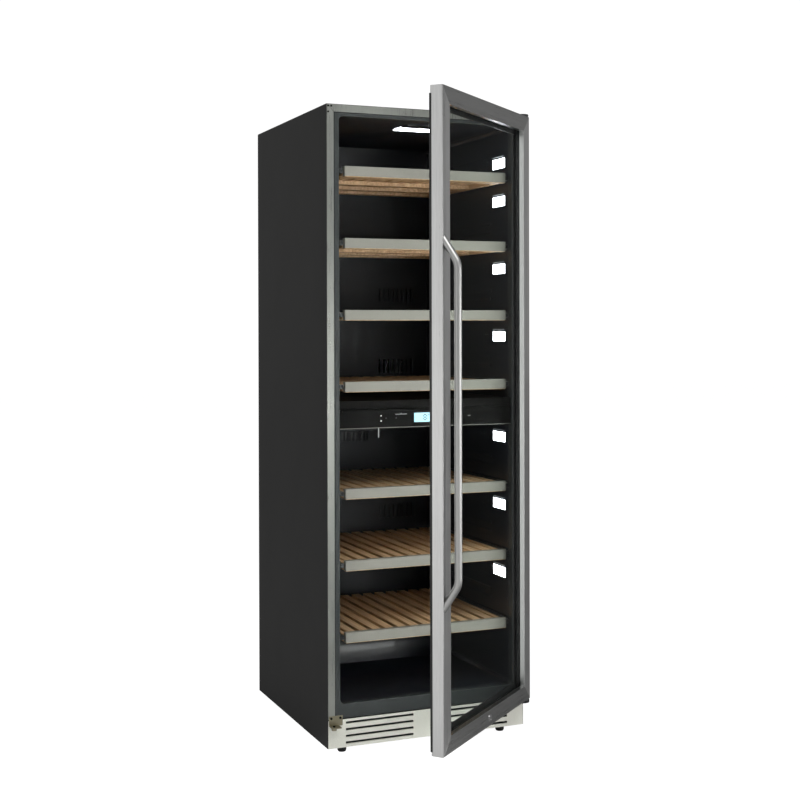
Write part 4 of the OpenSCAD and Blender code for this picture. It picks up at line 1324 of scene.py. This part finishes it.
@dataclass
class GlassDoor:
    """The door: mitred steel trim, black core, glazing, gasket, handle and lock."""

    edge: float = 0.0005
    soft_edge: float = 0.0004
    core_edge: float = 0.0006
    glass_edge: float = 0.0003
    spacer_edge: float = 0.0002
    groove: float = 0.0034
    groove_deep: float = 0.0012
    groove_wall: float = 0.0008
    bead_w: float = 0.0108
    bead_t: float = 0.0027
    bead_gap: float = 0.0039
    bead_short: float = 0.02
    bead_clear: float = 0.0015
    bead_in: float = 0.0003
    corner_zone: float = 0.1
    lip_out: float = 0.0004
    lip_deep: float = 0.0036
    rose_r: float = 0.0098
    rose_t: float = 0.0012
    rose_in: float = 0.0081
    rose_edge: float = 0.0003
    fold_r: float = 0.0026
    fold_steps: int = 5
    fold_reach: float = 0.0003
    back_facing: float = 0.9

    def build(self) -> None:
        """Builds every piece of the door."""
        steel = Seat("door", "stainless")
        self.trim("door_free_stile", steel, STILE_STEEL, Vector((-1.0, 0.0, 0.0)))
        self.trim("door_hinge_stile", steel, STILE_STEEL, Vector((1.0, 0.0, 0.0)))
        self.trim("door_top_rail", steel, RAIL_STAINLESS, Vector((0.0, 0.0, 1.0)))
        self.trim("door_bottom_rail", steel, RAIL_STAINLESS, Vector((0.0, 0.0, -1.0)))
        dressed("door_core", Seat("door", "core_plastic"), CORE_PLASTIC, self.core_edge)
        for pane in ("door_outer_glass", "door_inner_glass"):
            dressed(pane, Seat("door", "glass"), GLASS, self.glass_edge)
        dressed("glass_spacer", Seat("door", "spacer_black"), SPACER_BLACK, self.spacer_edge)
        dressed("door_handle", Seat("door", "handle_steel"), HANDLE_STEEL, 0.0)
        dressed("lock_barrel", Seat("lock", "lock_chrome"), CHROME, self.soft_edge)
        self.gasket()
        self.back_bead()
        self.lock_rose()

    def trim(self, node: str, seat: Seat, finish: Finish, outward: Vector) -> None:
        """Builds one length of the trim, its outer front edge folded to a wider radius.

        Args:
            node: the CAD node it replaces.
            seat: its body and slot.
            finish: its material.
            outward: direction of its outer side with the door shut.
        """
        shape = node_copy(node)
        shut = door_swing().inverted()
        places = {vert: shut @ vert.co for vert in shape.verts}
        front = min(place.y for place in places.values()) + self.fold_reach
        rim = max(place.dot(outward) for place in places.values()) - self.fold_reach
        outer = {vert for vert, place in places.items() if place.y < front and place.dot(outward) > rim}
        fold = [e for e in shape.edges if e.is_manifold and e.is_convex and set(e.verts) <= outer]
        bmesh.ops.bevel(shape, geom=fold, offset=self.fold_r, affect="EDGES", segments=self.fold_steps,
                        profile=0.5, material=-1)
        soften(shape, self.edge)
        publish(shape, f"{node}_piece", seat, finish, node)

    def gasket(self) -> None:
        """The magnetic gasket, with a groove pressed into its sealing face."""
        shape = node_copy("door_gasket")
        back = door_swing().to_3x3() @ Vector((0.0, 1.0, 0.0))
        sealing = [f for f in shape.faces if f.normal.dot(back) > self.back_facing]
        for wide, deep in ((self.groove, 0.0), (self.groove_wall, -self.groove_deep)):
            bmesh.ops.inset_region(shape, faces=sealing, thickness=wide, depth=deep, use_even_offset=True,
                                   use_boundary=True)
        soften(shape, self.soft_edge)
        publish(shape, "door_gasket_piece", Seat("door", "gasket_rubber"), GASKET_RUBBER, "door_gasket")

    def back_bead(self) -> None:
        """The black bead on the trim's back edge, clear of the hinge side and the bracket."""
        low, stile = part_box("left_side_panel")[0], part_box("door_free_stile")
        bottom, top = stile[0].z + self.bead_in, stile[1].z - self.bead_in
        left, right = low.x + self.bead_in, joint("door_hinge")["pos_m"][0] - self.bead_short
        back = low.y - self.bead_gap
        clear = Vector((1.0, 0.0, 1.0)) * self.bead_clear
        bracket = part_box("spare_hinge_bracket")[1] + clear
        heads = node_copy("cabinet_screws")
        corner = [span for span in map(reach, islands(heads)) if span[0].z > top - self.corner_zone]
        heads.free()
        under = min(span[0].z for span in corner) - self.bead_clear
        beyond = max(span[1].x for span in corner) + self.bead_clear
        shape = bmesh.new()
        side = Vector((left, back, bracket.z))
        add_block(shape, side, Vector((left + self.bead_w, back + self.bead_t, under)))
        lip = Vector((low.x - self.lip_out, back - self.lip_deep, bracket.z))
        add_block(shape, lip, Vector((left, back + self.bead_t, under)))
        for x, z in ((bracket.x, bottom), (beyond, top - self.bead_w)):
            add_block(shape, Vector((x, back, z)), Vector((right, back + self.bead_t, z + self.bead_w)))
        soften(shape, self.soft_edge)
        bmesh.ops.transform(shape, matrix=door_swing(), verts=shape.verts)
        publish(shape, "door_back_bead", Seat("door", "core_plastic"), CORE_PLASTIC)

    def lock_rose(self) -> None:
        """The bright ring round the lock barrel."""
        out = -(door_swing().to_3x3() @ Vector((0.0, 1.0, 0.0)))
        lock = Vector(joint("lock_turn")["pos_m"])
        shape = bmesh.new()
        add_ring(shape, lock - out * face_gap(lock, out), out, self.rose_in, self.rose_r, self.rose_t)
        soften(shape, self.rose_edge)
        publish(shape, "lock_rose", Seat("door", "lock_chrome"), CHROME)


@dataclass
class MachineBay:
    """The refrigeration set behind the plinth, and the fans."""

    nodes: dict[str, tuple[str, Finish, float]] = field(default_factory=lambda: {
        "compressor": ("compressor_paint", COMPRESSOR_PAINT, 0.0008),
        "condenser": ("coil_paint", COIL_PAINT, 0.0),
        "refrigerant_lines": ("copper", COPPER, 0.0),
        "drip_tray": ("tray_plastic", TRAY_PLASTIC, 0.0006),
        "power_inlet": ("inlet_plastic", INLET_PLASTIC, 0.0003),
    })
    fan_edge: float = 0.0003
    fans: dict[str, str] = field(default_factory=lambda: {
        "upper_fan": "upper_fan_wheel",
        "lower_fan": "lower_fan_wheel",
        "condenser_fan": "condenser_fan_wheel",
    })

    def build(self) -> None:
        """Builds the machine bay's pieces and the three fans."""
        for node, (slot, finish, width) in self.nodes.items():
            dressed(node, Seat("cabinet", slot), finish, width)
        for node, body in self.fans.items():
            dressed(node, Seat(body, "fan_plastic"), FAN_PLASTIC, self.fan_edge)


# ---------- the studio ----------


@dataclass(frozen=True)
class SoftBox:
    """A soft light: where it stands, what it faces, its size and its power."""

    name: str
    place: tuple[float, float, float]
    aim: tuple[float, float, float]
    size: tuple[float, float]
    power: float

    def build(self) -> None:
        """Adds the light to the scene."""
        data = bpy.data.lights.new(self.name, "AREA")
        data.shape = "RECTANGLE"
        data.size, data.size_y = self.size
        data.energy = self.power
        light = bpy.data.objects.new(self.name, data)
        bpy.context.scene.collection.objects.link(light)
        light.location = self.place
        light.rotation_euler = (Vector(self.aim) - Vector(self.place)).to_track_quat("-Z", "Y").to_euler()


@dataclass
class Studio:
    """The camera, the pale floor, the soft lights and the white surround."""

    eye: tuple[float, float, float] = (-1.51235, -3.75332, 1.17034)
    yaw: float = 0.3954793
    pitch: float = -0.0066852
    roll: float = -0.0022828
    lens: float = 60.5284
    shift: tuple[float, float] = (-0.001417, -0.082233)
    sensor: float = 36.0
    floor_size: float = 40.0
    floor_grey: float = 0.25
    floor_glow: float = 0.94
    bounce: float = 0.7
    bounce_x: tuple[float, float] = (-0.7, 0.4)
    bounce_y: tuple[float, float] = (-0.6, -0.1)
    bounce_behind: float = 0.2
    sky: tuple[float, float] = (0.25, 1.05)
    boxes: tuple[SoftBox, ...] = (
        SoftBox("left softbox", (-3.6, -1.3, 1.4), (0.0, -0.3, 1.0), (3.0, 3.6), 21.0),
        SoftBox("front softbox", (1.4, -4.4, 0.72), (0.0, -0.3, 0.9), (1.3, 1.0), 24.0),
        SoftBox("right front softbox", (2.9, -2.3, 0.8), (0.2, -0.4, 0.5), (1.5, 1.5), 38.0),
        SoftBox("overhead softbox", (0.0, -3.4, 4.3), (0.0, -0.2, 0.9), (3.0, 2.6), 95.0),
    )

    def build(self) -> None:
        """Sets up everything that isn't the object."""
        bpy.context.scene.view_settings.view_transform = "Standard"
        bpy.context.scene.view_settings.look = "None"
        self.camera()
        self.floor()
        self.surround()
        for box in self.boxes:
            box.build()

    def camera(self) -> None:
        """Places the camera."""
        ahead = Vector((math.sin(self.yaw) * math.cos(self.pitch), math.cos(self.yaw) * math.cos(self.pitch),
                        math.sin(self.pitch)))
        level = Vector((math.cos(self.yaw), -math.sin(self.yaw), 0.0))
        upward = level.cross(ahead)
        right = level * math.cos(self.roll) + upward * math.sin(self.roll)
        top = upward * math.cos(self.roll) - level * math.sin(self.roll)
        data = bpy.data.cameras.new("studio camera")
        data.lens, data.sensor_width = self.lens, self.sensor
        data.shift_x, data.shift_y = self.shift
        camera = bpy.data.objects.new("studio camera", data)
        bpy.context.scene.collection.objects.link(camera)
        turn = Matrix((right, top, -ahead)).transposed()
        camera.matrix_world = Matrix.Translation(Vector(self.eye)) @ turn.to_4x4()
        bpy.context.scene.camera = camera

    def in_view(self, graph: Graph) -> Wire:
        """Tells what is seen directly or through the glass from light and reflections.

        Args:
            graph: the graph to add to.

        Returns:
            1 for what is seen, and 0 for the rest.
        """
        path = graph.node("ShaderNodeLightPath").outputs
        turned = graph.maths("ADD", path["Glossy Depth"], path["Diffuse Depth"])
        through = graph.maths("MULTIPLY", path["Is Transmission Ray"], graph.maths("SUBTRACT", 1.0, turned))
        return graph.maths("ADD", path["Is Camera Ray"], through)

    def floor(self) -> None:
        """A pale floor that fades to white."""
        shape = bmesh.new()
        bmesh.ops.create_grid(shape, x_segments=1, y_segments=1, size=self.floor_size / 2)
        mesh = bpy.data.meshes.new("floor")
        shape.to_mesh(mesh)
        shape.free()
        floor = bpy.data.objects.new("floor", mesh)
        bpy.context.scene.collection.objects.link(floor)
        made = bpy.data.materials.new("floor")
        made.use_nodes = True
        made.node_tree.nodes.clear()
        graph = Graph(made.node_tree)
        seen = self.in_view(graph)
        grey = (*[self.floor_grey] * 3, 1.0)
        diffuse = graph.node("ShaderNodeBsdfDiffuse", {"Color": grey}).outputs[0]
        place = graph.node("ShaderNodeTexCoord").outputs["Object"]
        parts = graph.node("ShaderNodeSeparateXYZ", {0: place}).outputs
        across = graph.span(parts[0], self.bounce, 0.0, *self.bounce_x)
        along = graph.span(parts[1], 1.0, self.bounce_behind, *self.bounce_y)
        bounce = graph.maths("MULTIPLY", across, along)
        strength = graph.blend(seen, self.floor_glow, bounce)
        glow = graph.node("ShaderNodeEmission", {"Color": WHITE, "Strength": strength}).outputs[0]
        both = graph.node("ShaderNodeAddShader", {0: diffuse, 1: glow}).outputs[0]
        graph.node("ShaderNodeOutputMaterial", {"Surface": both})
        mesh.materials.append(made)

    def surround(self) -> None:
        """White behind the object, and a dim even grey for light and reflections."""
        world = bpy.data.worlds.new("studio")
        bpy.context.scene.world = world
        world.use_nodes = True
        world.node_tree.nodes.clear()
        graph = Graph(world.node_tree)
        strength = graph.span(self.in_view(graph), *self.sky)
        sky = graph.node("ShaderNodeBackground", {"Color": WHITE, "Strength": strength}).outputs[0]
        graph.node("ShaderNodeOutputWorld", {"Surface": sky})


def main() -> None:
    """Builds every sub-assembly in order."""
    logging.basicConfig(level=logging.INFO, format="%(message)s")
    parts = [CabinetShell(), FrontFrame(), Plinth(), Interior(), ControlPanel()]
    parts += [Rack(number) for number in range(1, 8)]
    parts += [GlassDoor(), MachineBay(), Studio()]
    for part in parts:
        log.info("building %s", type(part).__name__)
        part.build()


if __name__ == "__main__":
    main()
